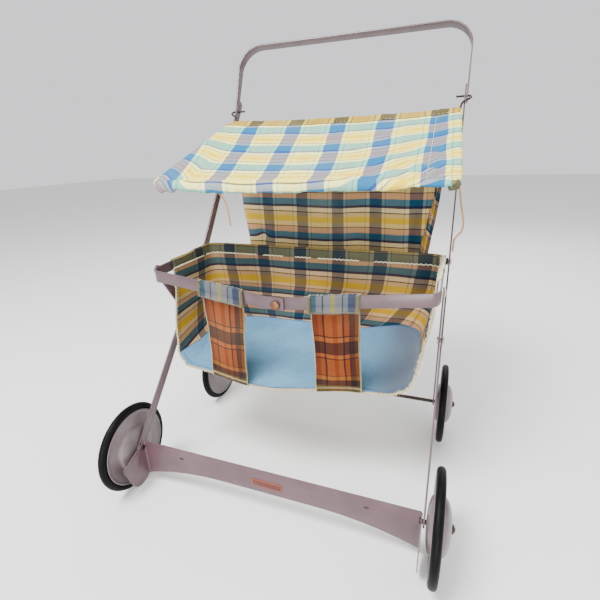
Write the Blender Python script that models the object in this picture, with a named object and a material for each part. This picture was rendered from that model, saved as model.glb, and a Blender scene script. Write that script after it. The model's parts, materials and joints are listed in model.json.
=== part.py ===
"""Folding doll's pushchair for two dolls: steel strip frame, wire canopy bow, cloth seat basket.

Frame of reference: metres, +Z up, +X to the right of someone facing the chair's front, +Y to
the back. The floor is z = 0. The side profile is drawn with y = 0 just behind the front axle;
the last step of main() moves everything so that the origin lies under the middle of the
overall length. The two side frames are mirror images in X.
"""
import math

import bmesh
import bpy
from mathutils import Matrix, Vector, geometry

# ---------------------------------------------------------------- driving dimensions
GAP = 0.0003                       # clearance between faces that touch
STRIP = 0.002                      # thickness of all flat steel strip
STRIP_WIDTH = 0.012                # width of struts, legs and side rails

RIM_X = 0.1706                     # middle of each side rail's strip
LEG_X = 0.1732                     # middle of each rear leg's strip
STRUT_X = 0.1758                   # middle of each long strut's strip
ARM_X = 0.1784                     # middle of each handle arm's strip

WHEEL_R = 0.0558                   # outer radius of the tyres
TYRE_SECTION = 0.0046              # radius of the tyre's round section
FRONT_WHEEL_X = 0.1881             # middle plane of the front wheels
REAR_WHEEL_X = 0.1855              # middle plane of the rear wheels
AXLE_R = 0.0025
AXLE_HOLE_R = 0.0029

FRONT_AXLE = (-0.0610, WHEEL_R)    # (y, z) of the front wheels' centre
REAR_AXLE = (0.1565, WHEEL_R)
KINK = (0.1390, 0.2790)            # where the strut bends, just above the side rail
PIVOT = (0.2760, 0.4720)           # axis of the canopy wire and of the handle
RAIL_PIVOT = (0.1348, 0.2740)      # rear end of the side rail on the strut
LEG_PIN = (0.0195, 0.2715)         # top of the rear leg at the side rail

HANDLE_LEAN = math.radians(21.0)   # lean of the handle arms from vertical, towards the back
HANDLE_REACH = 0.1035              # pivot to the middle of the handle's cross bar
HANDLE_WIDTH = 0.014
HANDLE_CORNER = 0.036

RAIL_HEIGHT = 0.0145               # height of the front rail
RAIL_FRONT_Y = 0.0065              # front rail at its corners
RAIL_MIDDLE_Y = -0.0010            # front rail at its middle rivet
RAIL_CORNER_Z = 0.2668
RAIL_MIDDLE_Z = 0.2492

WIRE_R = 0.0015
CANOPY_FRONT = (0.0460, 0.3750)    # (y, z) of the canopy wire's front bar
CANOPY_REAR = (0.2565, 0.4545)     # (y, z) where the wire arms bend forward
CANOPY_FRONT_X = 0.1780
CANOPY_REAR_X = 0.1712
WIRE_CORNER = 0.011

BAR_Y = -0.0570                    # front face of the front crossbar
BAR_TOP = 0.0635
BAR_SHEET = 0.0012
BAR_FACE_X = 0.1740                # outer face of the crossbar's end flanges

TIE_R = 0.0012

MIDDLE_Y = 0.1017                  # middle of the overall length in the side profile


# ---------------------------------------------------------------- materials
def paint(name, colour, roughness, metallic=0.0):
    """Make one Principled material."""
    material = bpy.data.materials.new(name)
    material.use_nodes = True
    shader = material.node_tree.nodes["Principled BSDF"]
    shader.inputs["Base Color"].default_value = (*colour, 1.0)
    shader.inputs["Roughness"].default_value = roughness
    shader.inputs["Metallic"].default_value = metallic
    material.diffuse_color = (*colour, 1.0)
    return material


# ---------------------------------------------------------------- building blocks
def add_object(name, data, material):
    obj = bpy.data.objects.new(name, data)
    bpy.context.scene.collection.objects.link(obj)
    data.materials.append(material)
    return obj


def finish_mesh(name, bm, material, smooth=True, angle=35.0, origin=None):
    """Face the shell outwards, move the object's origin and link it."""
    bmesh.ops.recalc_face_normals(bm, faces=bm.faces)
    if origin is not None:
        bmesh.ops.translate(bm, verts=bm.verts, vec=-Vector(origin))
    mesh = bpy.data.meshes.new(name)
    bm.to_mesh(mesh)
    bm.free()
    if smooth:
        mesh.shade_smooth()
        mesh.set_sharp_from_angle(angle=math.radians(angle))
    obj = add_object(name, mesh, material)
    if origin is not None:
        obj.location = origin
    return obj


def arc(centre, radius, start, end, steps):
    """Points on a circle arc; angles in degrees."""
    points = []
    for i in range(steps + 1):
        a = math.radians(start + (end - start) * i / steps)
        points.append((centre[0] + radius * math.cos(a), centre[1] + radius * math.sin(a)))
    return points


def circle(centre, radius, steps=12):
    return arc(centre, radius, 0.0, 360.0, steps)[:-1]


def rounded(points, radius, steps=6):
    """Open polyline with each inner corner turned into an arc of the given radius."""
    result = [Vector(points[0])]
    for before, corner, after in zip(points, points[1:], points[2:]):
        corner = Vector(corner)
        to_before = (Vector(before) - corner).normalized()
        to_after = (Vector(after) - corner).normalized()
        half = to_before.angle(to_after) / 2
        reach = radius / math.tan(half)
        middle = corner + (to_before + to_after).normalized() * (radius / math.sin(half))
        first = corner + to_before * reach - middle
        last = corner + to_after * reach - middle
        for i in range(steps + 1):
            blend = first.lerp(last, i / steps)
            result.append(middle + blend.normalized() * radius)
    result.append(Vector(points[-1]))
    return result


def offset_path(path, distance):
    """Polyline moved sideways by a distance, with mitred corners."""
    moved = []
    for i, point in enumerate(path):
        back = (point - path[i - 1]).normalized() if i else None
        ahead = (path[i + 1] - point).normalized() if i + 1 < len(path) else None
        back = back or ahead
        ahead = ahead or back
        side = Vector((-back.y - ahead.y, back.x + ahead.x)).normalized()
        stretch = side.dot(Vector((-ahead.y, ahead.x)))
        moved.append(point + side * (distance / stretch))
    return moved


def prism(name, loops, place, low, high, material, **options):
    """Solid between two flat faces. loops: the outline, then its holes; place maps (u, v, w)."""
    bm = bmesh.new()
    rings = []
    for level in (low, high):
        rings.append([[bm.verts.new(place(u, v, level)) for u, v in loop] for loop in loops])
    flat = [[Vector((u, v, 0.0)) for u, v in loop] for loop in loops]
    triangles = geometry.tessellate_polygon(flat)
    for ring in rings:
        verts = [vert for loop in ring for vert in loop]
        for a, b, c in triangles:
            bm.faces.new((verts[a], verts[b], verts[c]))
    for bottom, top in zip(*rings):
        for i, vert in enumerate(bottom):
            j = (i + 1) % len(bottom)
            bm.faces.new((vert, bottom[j], top[j], top[i]))
    return finish_mesh(name, bm, material, **options)


def ribbon(name, stations, thickness, place, material, **options):
    """Bent strip. stations: (u, v, low, high); the strip follows (u, v) and stands up in w."""
    path = [Vector(station[:2]) for station in stations]
    inner = offset_path(path, -thickness / 2)
    outer = offset_path(path, thickness / 2)
    bm = bmesh.new()
    rings = []
    for near, far, (_, _, low, high) in zip(inner, outer, stations):
        corners = ((near, low), (far, low), (far, high), (near, high))
        rings.append([bm.verts.new(place(p.x, p.y, w)) for p, w in corners])
    for ring, after in zip(rings, rings[1:]):
        for i in range(4):
            j = (i + 1) % 4
            bm.faces.new((ring[i], ring[j], after[j], after[i]))
    bm.faces.new(rings[0])
    bm.faces.new(reversed(rings[-1]))
    return finish_mesh(name, bm, material, **options)


def lathe(name, profile, centre, side, material, steps=32, ring=False, **options):
    """Turned piece about an axis along X. profile: (radius, distance outwards along side).

    A ring's profile is a closed loop; otherwise the profile starts and ends on the axis.
    """
    bm = bmesh.new()
    columns = []
    for radius, along in profile:
        x = centre[0] + side * along
        if radius == 0.0:
            columns.append([bm.verts.new((x, centre[1], centre[2]))])
            continue
        column = []
        for i in range(steps):
            a = 2 * math.pi * i / steps
            y = centre[1] + radius * math.cos(a)
            z = centre[2] + radius * math.sin(a)
            column.append(bm.verts.new((x, y, z)))
        columns.append(column)
    pairs = list(zip(columns, columns[1:]))
    if ring:
        pairs.append((columns[-1], columns[0]))
    for first, second in pairs:
        for i in range(steps):
            j = (i + 1) % steps
            if len(first) == 1:
                bm.faces.new((first[0], second[i], second[j]))
            elif len(second) == 1:
                bm.faces.new((first[i], first[j], second[0]))
            else:
                bm.faces.new((first[i], first[j], second[j], second[i]))
    return finish_mesh(name, bm, material, **options)


def tube(name, points, radius, material, resolution=2):
    """Round wire or cord along points, with filled ends."""
    curve = bpy.data.curves.new(name, "CURVE")
    curve.dimensions = "3D"
    curve.bevel_depth = radius
    curve.bevel_resolution = resolution
    curve.use_fill_caps = True
    spline = curve.splines.new("POLY")
    spline.points.add(len(points) - 1)
    for spline_point, point in zip(spline.points, points):
        spline_point.co = (*point, 1.0)
    return add_object(name, curve, material)


def smooth_route(route, spacing):
    """Points at a near-even spacing on a Catmull-Rom curve through the route."""
    route = [Vector(p) for p in route]
    ends = [2 * route[0] - route[1], *route, 2 * route[-1] - route[-2]]
    points = [route[0]]
    for p0, p1, p2, p3 in zip(ends, ends[1:], ends[2:], ends[3:]):
        count = max(1, round((p2 - p1).length / spacing))
        for i in range(1, count + 1):
            t = i / count
            points.append(0.5 * (2 * p1 + (p2 - p0) * t + (2 * p0 - 5 * p1 + 4 * p2 - p3) * t**2
                                 + (3 * p1 - p0 - 3 * p2 + p3) * t**3))
    return points


def cloth_solid(name, rows, thickness, material):
    """Closed cloth shell: a grid of points thickened evenly to both sides."""
    bm = bmesh.new()
    grid = [[bm.verts.new(point) for point in row] for row in rows]
    for row, after in zip(grid, grid[1:]):
        for i in range(len(row) - 1):
            bm.faces.new((row[i], row[i + 1], after[i + 1], after[i]))
    obj = finish_mesh(name, bm, material, angle=60.0)
    thicken = obj.modifiers.new("thickness", "SOLIDIFY")
    thicken.thickness = thickness
    thicken.offset = 0.0
    thicken.use_even_offset = True
    return obj


def drill(obj, centre, radius, half_length):
    """Cut a round hole along X through an object."""
    bm = bmesh.new()
    turn = Matrix.Translation(centre) @ Matrix.Rotation(math.pi / 2, 4, "Y")
    bmesh.ops.create_cone(bm, cap_ends=True, segments=16, radius1=radius, radius2=radius,
                          depth=2 * half_length, matrix=turn)
    mesh = bpy.data.meshes.new(obj.name + "_drill")
    bm.to_mesh(mesh)
    bm.free()
    cutter = bpy.data.objects.new(mesh.name, mesh)
    bpy.context.scene.collection.objects.link(cutter)
    cutter.hide_render = True
    cutter.display_type = "WIRE"
    cut = obj.modifiers.new("hole", "BOOLEAN")
    cut.operation = "DIFFERENCE"
    cut.object = cutter


# ---------------------------------------------------------------- shared geometry
SIDES = (("left", -1.0), ("right", 1.0))


def along(start, end, t):
    return tuple(a + (b - a) * t for a, b in zip(start, end))


def scissor_point():
    """Where the strut's lower run and the rear leg cross, seen from the side."""
    crossing = geometry.intersect_line_line_2d(FRONT_AXLE, KINK, REAR_AXLE, LEG_PIN)
    return crossing.x, crossing.y


def side_plate(x, side):
    """Placement of a plate that stands across X at a distance x from the middle plane."""
    def place(u, v, w):
        return Vector((side * (x + w), u, v))
    return place


def strip_outline(path, width):
    """Outline of a flat strip with round ends along a (y, z) path."""
    path = [Vector(p) for p in path]
    left = offset_path(path, width / 2)
    right = offset_path(path, -width / 2)
    heading = math.degrees(math.atan2(*(path[-1] - path[-2]).yx))
    start = math.degrees(math.atan2(*(path[0] - path[1]).yx))
    outline = [tuple(p) for p in right[1:-1]]
    outline += arc(path[-1], width / 2, heading - 90, heading + 90, 8)
    outline += [tuple(p) for p in reversed(left[1:-1])]
    outline += arc(path[0], width / 2, start - 90, start + 90, 8)
    return outline


def rivet_profile(shank, head, inner, outer, head_height):
    """Rivet from an inner head to an outer head; inner and outer are the gripped faces."""
    dome = head_height * 0.45
    return [(0.0, inner - head_height), (head * 0.6, inner - head_height),
            (head, inner - head_height + dome), (head, inner), (shank, inner),
            (shank, outer), (head, outer), (head, outer + head_height - dome),
            (head * 0.6, outer + head_height), (0.0, outer + head_height)]


def rivet(name, x_inner, x_outer, point, side, material, shank=0.0022, head=0.0043, height=0.0014):
    profile = rivet_profile(shank, head, x_inner - GAP, x_outer + GAP, height)
    return lathe(name, profile, (0.0, *point), side, material, steps=12)


# ---------------------------------------------------------------- side frames
def build_strut(label, side, metal):
    """Long strut: front axle, scissor rivet, bend at the rail, up past the pivot."""
    top = along(KINK, PIVOT, 1.055)
    path = [FRONT_AXLE, KINK, top]
    holes = [circle(FRONT_AXLE, AXLE_HOLE_R), circle(scissor_point(), 0.0026),
             circle(RAIL_PIVOT, 0.0026), circle(PIVOT, 0.0020)]
    prism(f"{label}_strut", [strip_outline(path, STRIP_WIDTH), *holes],
          side_plate(STRUT_X, side), -STRIP / 2, STRIP / 2, metal)


def build_rear_leg(label, side, metal):
    path = [REAR_AXLE, LEG_PIN]
    holes = [circle(REAR_AXLE, AXLE_HOLE_R), circle(scissor_point(), 0.0026),
             circle(LEG_PIN, 0.0026)]
    prism(f"{label}_rear_leg", [strip_outline(path, STRIP_WIDTH), *holes],
          side_plate(LEG_X, side), -STRIP / 2, STRIP / 2, metal)


def build_side_rivets(label, side, metal):
    half = STRIP / 2
    rivet(f"{label}_scissor_rivet", LEG_X - half, STRUT_X + half, scissor_point(), side, metal)
    rivet(f"{label}_rail_rivet", RIM_X - half, STRUT_X + half, RAIL_PIVOT, side, metal,
          height=0.0012)
    # spacer bush that fills the rear leg's layer between rail and strut
    inner, outer = RIM_X + half + GAP, STRUT_X - half - GAP
    profile = [(0.0026, inner), (0.0026, outer), (0.0045, outer), (0.0045, inner)]
    lathe(f"{label}_rail_spacer", profile, (0.0, *RAIL_PIVOT), side, metal, steps=12, ring=True)
    # pin at the top of the rear leg: its head is outside, its flush end faces the rail
    inner = LEG_X - half
    outer = LEG_X + half + GAP
    profile = [(0.0, inner), (0.0022, inner), (0.0022, outer), (0.0043, outer),
               (0.0043, outer + 0.0008), (0.0026, outer + 0.0014), (0.0, outer + 0.0014)]
    lathe(f"{label}_leg_pin", profile, (0.0, *LEG_PIN), side, metal, steps=12)


# ---------------------------------------------------------------- front crossbar
def bar_bottom(x):
    """Height of the crossbar's lower edge: level in the middle, deeper towards the ends."""
    reach = max(0.0, abs(x) - 0.055) / (BAR_FACE_X - 0.055)
    return 0.031 - 0.0185 * reach ** 2.2


def build_crossbar(metal, plate):
    """Folded sheet: a wide face across the front and a rounded flange at each end."""
    half = BAR_SHEET / 2
    face_y = BAR_Y + half
    flange = [(-0.0620, 0.0098), (-0.0675, 0.0078), (-0.0740, 0.0070), (-0.0795, 0.0084),
              (-0.0840, 0.0122), (-0.0875, 0.0180), (-0.0905, 0.0262), (-0.0935, 0.0366)]
    tip_y, tip_z = -0.0964, 0.0484

    def top(y):
        return BAR_TOP + (tip_z - BAR_TOP) * (y - face_y) / (tip_y - face_y)

    right = [(BAR_FACE_X - half, y, z, top(y)) for y, z in flange]
    right.append((BAR_FACE_X - half, tip_y, tip_z - 0.0035, tip_z - 0.0004))
    corner = rounded([(0.160, face_y), (BAR_FACE_X - half, face_y), right[0][:2]], 0.0022, 4)[1:-1]
    corner = [(p.x, p.y, bar_bottom(p.x), BAR_TOP) for p in corner]
    spans = [0.165, 0.150, 0.132, 0.112, 0.090, 0.070, 0.050, 0.0]
    face = [(x, face_y, bar_bottom(x), BAR_TOP) for x in reversed(spans)]
    half_bar = face[1:] + corner + right
    stations = [(-x, y, low, high) for x, y, low, high in reversed(half_bar)]
    stations += [face[0], *half_bar]
    bar = ribbon("front_crossbar", stations, BAR_SHEET, lambda u, v, w: Vector((u, v, w)), metal)
    for _, side in SIDES:
        drill(bar, (side * BAR_FACE_X, *FRONT_AXLE), AXLE_HOLE_R, 0.004)

    # blank rounded plate in the middle of the bar
    width, height, radius = 0.038, 0.009, 0.0015
    outline = []
    for cx, cz, start in ((1, 1, 0), (-1, 1, 90), (-1, -1, 180), (1, -1, 270)):
        centre = (cx * (width / 2 - radius), 0.0445 + cz * (height / 2 - radius))
        outline += arc(centre, radius, start, start + 90, 4)
    front = BAR_Y - GAP
    prism("crossbar_plate", [outline], lambda u, v, w: Vector((u, w, v)),
          front - 0.0005, front, plate)


# ---------------------------------------------------------------- axles and wheels
def build_front_axle(label, side, metal):
    """Stub axle with a flat head inside the flange, and the push nut on its outer end."""
    head = BAR_FACE_X - BAR_SHEET - GAP
    end = FRONT_WHEEL_X + 0.0172
    profile = [(0.0, head - 0.0013), (0.0027, head - 0.0013), (0.0031, head - 0.0008),
               (0.0031, head), (AXLE_R, head), (AXLE_R, end - 0.0008), (0.0015, end), (0.0, end)]
    lathe(f"{label}_front_axle", profile, (0.0, *FRONT_AXLE), side, metal, steps=14)
    build_push_nut(f"{label}_front_push_nut", FRONT_WHEEL_X, FRONT_AXLE, side, metal)


def build_push_nut(name, wheel_x, axle, side, metal):
    """Domed spring cap pressed on the end of an axle, just outside the wheel."""
    inner = wheel_x + 0.0143
    profile = [(AXLE_R + 0.0002, inner), (0.0046, inner), (0.0046, inner + 0.0008),
               (0.0038, inner + 0.0016), (AXLE_R + 0.0002, inner + 0.0019)]
    lathe(name, profile, (0.0, *axle), side, metal, steps=14, ring=True)


def build_rear_axle(metal):
    end = REAR_WHEEL_X + 0.0172
    profile = [(0.0, -end), (0.0015, -end), (AXLE_R, 0.0008 - end),
               (AXLE_R, end - 0.0008), (0.0015, end), (0.0, end)]
    lathe("rear_axle", profile, (0.0, *REAR_AXLE), 1.0, metal, steps=14)
    for label, side in SIDES:
        build_push_nut(f"{label}_rear_push_nut", REAR_WHEEL_X, REAR_AXLE, side, metal)


def disc_profile(crown, hole, sheet=0.0008):
    """Pressed wheel half: lip on the tyre, flat ring, then a dome up to the crown height."""
    outer = [(0.0480, 0.0046), (0.0468, 0.0050), (0.0446, 0.0036), (0.0300, 0.0036)]
    dome_r, dome_base = 0.0270, 0.0052
    for i in range(3):
        a = math.radians(10 + 58 * i / 2)
        radius = dome_r * math.cos(a) ** 0.9
        outer.append((radius, dome_base + (crown - dome_base) * math.sin(a)))
    outer.append((hole, crown))
    inner = [(radius, height - sheet) for radius, height in reversed(outer)]
    return outer + inner


def build_wheel(label, wheel_x, axle, side, materials):
    """Tyre, two pressed discs and the bush between them; the origin is on the axle."""
    enamel, rubber, dark = materials
    centre = (side * wheel_x, *axle)
    ring_r = WHEEL_R - TYRE_SECTION
    section = [(ring_r + v, u) for u, v in circle((0.0, 0.0), TYRE_SECTION, 8)]
    lathe(f"{label}_tyre", section, centre, side, rubber, steps=32, ring=True, origin=centre)
    lathe(f"{label}_outer_disc", disc_profile(0.0140, 0.0031), centre, side, enamel,
          steps=20, ring=True, origin=centre)
    lathe(f"{label}_inner_disc", disc_profile(0.0104, 0.0031), centre, -side, enamel,
          steps=20, ring=True, origin=centre)
    low, high = -(0.0104 - 0.0008 - 0.0004), 0.0140 - 0.0008 - 0.0004
    bush = [(AXLE_R + 0.0003, low), (0.0050, low), (0.0050, high), (AXLE_R + 0.0003, high)]
    lathe(f"{label}_hub_bush", bush, centre, side, dark, steps=14, ring=True, origin=centre)


# ---------------------------------------------------------------- rim rails
def rail_level(x):
    """Middle height of the front rail: it dips towards the rivet in the middle."""
    share = min(1.0, abs(x) / (RIM_X - 0.010))
    return RAIL_MIDDLE_Z + (RAIL_CORNER_Z - RAIL_MIDDLE_Z) * share


def build_rim_rail(label, side, metal):
    """J-shaped strip: half of the front rail, a bent corner, and the rail along the side."""
    lap = 0.0012 if side > 0 else -0.0012
    middle = (-0.009, RAIL_MIDDLE_Y + lap - 0.0004)
    far = (0.120, RAIL_FRONT_Y - 0.0012)
    plan = rounded([middle, (0.016, RAIL_MIDDLE_Y + lap), far, (RIM_X, RAIL_FRONT_Y),
                    (RIM_X, RAIL_PIVOT[0] + 0.0070)], 0.0095, 6)
    stations = []
    for point in plan:
        rise = min(1.0, max(0.0, (point.y - RAIL_FRONT_Y) / 0.016))
        height = RAIL_HEIGHT + (STRIP_WIDTH - RAIL_HEIGHT) * rise
        slope = (point.y - RAIL_FRONT_Y) / (RAIL_PIVOT[0] - RAIL_FRONT_Y)
        side_level = LEG_PIN[1] + (RAIL_PIVOT[1] - LEG_PIN[1]) * max(0.0, slope)
        level = rail_level(point.x) * (1 - rise) + side_level * rise
        stations.append((point.x, point.y, level - height / 2, level + height / 2))

    def place(u, v, w):
        return Vector((side * u, v, w))
    rail = ribbon(f"{label}_rim_rail", stations, STRIP, place, metal)
    drill(rail, (side * RIM_X, *RAIL_PIVOT), 0.0026, 0.003)
    return rail


def build_middle_rivet(rails, metal):
    """Domed rivet through the two halves of the front rail."""
    centre = Vector((0.0, RAIL_MIDDLE_Y, RAIL_MIDDLE_Z))
    turn = Matrix.Translation(centre) @ Matrix.Rotation(-math.pi / 2, 4, "Z")
    faces = STRIP + 0.0012 + 2 * GAP
    profile = [(0.0, -faces - 0.0024), (0.0022, -faces - 0.0022), (0.0040, -faces - 0.0014),
               (0.0050, -faces), (0.0024, -faces), (0.0024, faces), (0.0042, faces),
               (0.0042, faces + 0.0008), (0.0026, faces + 0.0014), (0.0, faces + 0.0014)]
    rivet_body = lathe("front_rail_rivet", [(r, -a) for r, a in profile], (0, 0, 0), 1.0, metal,
                       steps=14)
    rivet_body.data.transform(turn)
    rivet_body.data.update()
    for rail in rails:
        drill_along_y(rail, centre, 0.0028)


def drill_along_y(obj, centre, radius):
    drill(obj, centre, radius, 0.006)
    cutter = obj.modifiers[-1].object
    to_centre = Matrix.Translation(centre)
    cutter.data.transform(to_centre @ Matrix.Rotation(math.pi / 2, 4, "Z") @ to_centre.inverted())


def build_rear_rim_bar(metal):
    """Flat bar across the back of the basket with a short flange inside each side rail."""
    side_x = RIM_X - STRIP - GAP
    rear_y = RAIL_PIVOT[0] + 0.0050
    half = rounded([(0.0, rear_y), (side_x, rear_y), (side_x, rear_y - 0.034)], 0.006, 5)
    plan = [(-p.x, p.y) for p in reversed(half[1:])] + [(p.x, p.y) for p in half]
    level = RAIL_PIVOT[1]
    stations = [(x, y, level - 0.0055, level + 0.0055) for x, y in plan]
    bar = ribbon("rear_rim_bar", stations, 0.0016, lambda u, v, w: Vector((u, v, w)), metal)
    for _, side in SIDES:
        drill(bar, (side * side_x, *RAIL_PIVOT), 0.0050, 0.004)


# ---------------------------------------------------------------- handle
def build_handle(metal):
    """Flat strip bow: two arms on the pivots, two round corners, one cross bar."""
    lean = Vector((0.0, math.sin(HANDLE_LEAN), math.cos(HANDLE_LEAN)))
    across = Vector((0.0, math.cos(HANDLE_LEAN), -math.sin(HANDLE_LEAN)))
    base = Vector((0.0, *PIVOT))
    half = rounded([(ARM_X, -0.009), (ARM_X, HANDLE_REACH), (0.0, HANDLE_REACH)],
                   HANDLE_CORNER, 10)
    plan = half + [Vector((-p.x, p.y)) for p in reversed(half[:-1])]
    stations = [(p.x, p.y, -HANDLE_WIDTH / 2, HANDLE_WIDTH / 2) for p in plan]

    def place(u, v, w):
        return Vector((u, 0.0, 0.0)) + base + lean * v + across * w
    bow = ribbon("handle_bow", stations, STRIP, place, metal, origin=tuple(base))
    for _, side in SIDES:
        drill(bow, (side * ARM_X, *PIVOT), 0.0020, 0.004)
        clip_arm_end(bow, side, lean, base)


def clip_arm_end(bow, side, lean, base):
    """Narrow the lower end of an arm so that its corners are cut off at an angle."""
    for vert in bow.data.vertices:
        reach = (vert.co + bow.location - base).dot(lean)
        if reach < -0.008 and vert.co.x * side > 0:
            offset = vert.co + bow.location - base
            straight = Vector((offset.x, 0.0, 0.0)) + lean * reach
            vert.co = base - bow.location + straight.lerp(offset, 0.55)


# ---------------------------------------------------------------- canopy
def build_canopy_wire(metal):
    """Wire bow: each end passes out through arm and strut, hooks back in front of the strut."""
    y0, z0 = PIVOT
    rear_y, rear_z = CANOPY_REAR
    front_y, front_z = CANOPY_FRONT
    hook = [(0.1640, y0, z0), (0.1720, y0, z0), (0.1800, y0, z0), (0.1822, y0 - 0.0008, z0),
            (0.1836, y0 - 0.0035, z0 - 0.0010), (0.1834, y0 - 0.0080, z0 - 0.0028),
            (0.1812, y0 - 0.0125, z0 - 0.0048), (0.1780, y0 - 0.0146, z0 - 0.0064),
            (0.1745, y0 - 0.0152, z0 - 0.0078), (0.1722, y0 - 0.0158, z0 - 0.0105),
            (CANOPY_REAR_X, y0 - 0.0174, z0 - 0.0145)]
    bend = [(CANOPY_REAR_X, rear_y, rear_z), (0.1716, rear_y - 0.0070, rear_z - 0.0036)]
    start = Vector(bend[-1])
    corner = Vector((CANOPY_FRONT_X, front_y, front_z))
    heading = (corner - start).normalized()
    radius = WIRE_CORNER
    run = [start + (corner - heading * radius - start) * i / 4 for i in range(1, 5)]
    turn = []
    for i in range(1, 6):
        a = math.radians(90 * i / 6)
        inward = Vector((-radius * (1 - math.cos(a)), 0.0, 0.0))
        turn.append(corner - heading * radius * (1 - math.sin(a)) + inward)
    right = [Vector(p) for p in hook + bend] + run + turn
    right.append(Vector((CANOPY_FRONT_X - radius, front_y, front_z)))
    left = [Vector((-p.x, p.y, p.z)) for p in reversed(right)]
    points = right + [Vector((0.0, front_y, front_z))] + left
    obj = tube("canopy_wire", [p - Vector((0.0, y0, z0)) for p in points], WIRE_R, metal)
    obj.location = (0.0, y0, z0)


def build_canopy_cloth(cloth):
    """Cover stretched between the wire arms, and the curtain that hangs behind the seat."""
    rear = (CANOPY_REAR[0] - 0.002, CANOPY_REAR[1] - 0.0005)
    front = (CANOPY_FRONT[0] + 0.0034, CANOPY_FRONT[1] + 0.0014)
    depth = math.dist(rear, front)
    rows = []
    for t in (0.0, 0.12, 0.24, 0.36, 0.48, 0.60, 0.72, 0.84, 0.945, 0.975, 1.0):
        y, z = along(rear, front, t)
        half = CANOPY_REAR_X + (CANOPY_FRONT_X - CANOPY_REAR_X) * t - WIRE_R - 0.0022
        inside = max(0.0, 1 - (1 - t) * depth / WIRE_CORNER)
        half -= WIRE_CORNER * (1 - math.sqrt(1 - inside ** 2))
        row = []
        for j in range(13):
            s = -1 + 2 * j / 12
            sag = 0.004 * (1 - s * s) * math.sin(math.pi * t)
            row.append((half * s, y, z - sag))
        rows.append(row)
    cover = cloth_solid("canopy_cover", rows, 0.0020, cloth)
    cover.data.transform(Matrix.Translation((0.0, -PIVOT[0], -PIVOT[1])))
    cover.location = (0.0, *PIVOT)

    curtain = [(0.1700, 0.2600, 0.4480), (0.1695, 0.2620, 0.4000), (0.1680, 0.2620, 0.3500),
               (0.1600, 0.2610, 0.3000), (0.1540, 0.2600, 0.2620), (0.1510, 0.2590, 0.2280)]
    rows = [[(half * (-1 + j / 4), y, z) for j in range(9)] for half, y, z in curtain]
    cloth_solid("canopy_curtain", rows, 0.0020, cloth)


# ---------------------------------------------------------------- seat
BASKET_RINGS = (                   # height, half width, rear y, front y, corner radius
    (0.2660, 0.1655, 0.1355, 0.0420, 0.012),
    (0.2300, 0.1645, 0.1345, 0.0420, 0.016),
    (0.1980, 0.1620, 0.1325, 0.0400, 0.022),
    (0.1740, 0.1575, 0.1290, 0.0350, 0.030),
    (0.1550, 0.1500, 0.1235, 0.0240, 0.036),
    (0.1425, 0.1380, 0.1150, 0.0120, 0.040),
)
FLOOR_SLOPE = 0.26                 # rise of the seat floor per unit of depth
PAD_LEVEL = 0.1444                 # underside of the seat pad at its front edge


def floor_lift(y, z):
    """Extra height of the lower rings towards the back, where the seat floor rises."""
    share = max(0.0, min(1.0, (0.230 - z) / 0.080))
    return max(0.0, y - 0.020) * FLOOR_SLOPE * share


def basket_ring(height, half_width, rear, front, corner):
    """Open U from the left front edge round the back to the right front edge."""
    half = rounded([(0.0, rear), (half_width, rear), (half_width, front)], corner, 5)
    plan = [Vector((-p.x, p.y)) for p in reversed(half[1:])] + half
    even = resample(plan, 28)
    return [Vector((p.x, p.y, height + floor_lift(p.y, height))) for p in even]


def resample(path, count):
    """Evenly spaced points along a polyline."""
    lengths = [0.0]
    for a, b in zip(path, path[1:]):
        lengths.append(lengths[-1] + (b - a).length)
    points = []
    for i in range(count + 1):
        target = lengths[-1] * i / count
        k = max(j for j in range(len(path) - 1) if lengths[j] <= target + 1e-9)
        t = (target - lengths[k]) / (lengths[k + 1] - lengths[k])
        points.append(path[k].lerp(path[k + 1], min(1.0, t)))
    return points


def build_basket(cloth):
    """Cloth tub: side and rear walls, round lower edges, a floor, and an open front."""
    rings = [basket_ring(*ring) for ring in BASKET_RINGS]
    front = BASKET_RINGS[-1][3]
    height = BASKET_RINGS[-1][0] - 0.0015
    for share in (0.70, 0.38, 0.10):
        ring = []
        for point in rings[len(BASKET_RINGS) - 1]:
            y = front + (point.y - front) * share
            ring.append(Vector((point.x * share, y, height + floor_lift(y, height))))
        rings.append(ring)
    bm = bmesh.new()
    grid = [[bm.verts.new(point) for point in ring] for ring in rings]
    for ring, after in zip(grid, grid[1:]):
        for i in range(len(ring) - 1):
            bm.faces.new((ring[i], ring[i + 1], after[i + 1], after[i]))
    bm.faces.new(grid[-1])
    obj = finish_mesh("basket", bm, cloth, angle=60.0)
    thicken = obj.modifiers.new("thickness", "SOLIDIFY")
    thicken.thickness = 0.0016
    thicken.offset = 0.0
    thicken.use_even_offset = True


def build_pad(cloth):
    """Thin pad on the seat floor, following its slope."""
    front, rear = 0.0140, 0.1110
    half, corner, thick = 0.1275, 0.034, 0.0080
    outline = []
    centre_y, reach = (front + rear) / 2, (rear - front) / 2
    for cx, cy, start in ((1, 1, 0), (-1, 1, 90), (-1, -1, 180), (1, -1, 270)):
        radius = corner if cy > 0 else 0.010
        centre = (cx * (half - radius), centre_y + cy * (reach - radius))
        outline += arc(centre, radius, start, start + 90, 5)

    def place(u, v, w):
        return Vector((u, v, PAD_LEVEL + FLOOR_SLOPE * max(0.0, v - 0.020) + w))
    prism("seat_pad", [outline], place, 0.0, thick, cloth)


def build_leg_strap(label, side, cloth):
    """Cloth strap from the front rail down to the front edge of the seat floor."""
    centre, half = -0.0035 + 0.0680 * side, 0.0272
    profile = [(0.0005, 0.2460), (-0.0010, 0.2250), (-0.0020, 0.2000), (-0.0010, 0.1750),
               (0.0030, 0.1550), (0.0080, 0.1400)]
    rows = [[(centre + half * (-1 + j / 2), y, z) for j in range(5)] for y, z in profile]
    cloth_solid(f"{label}_leg_strap", rows, 0.0014, cloth)


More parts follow.
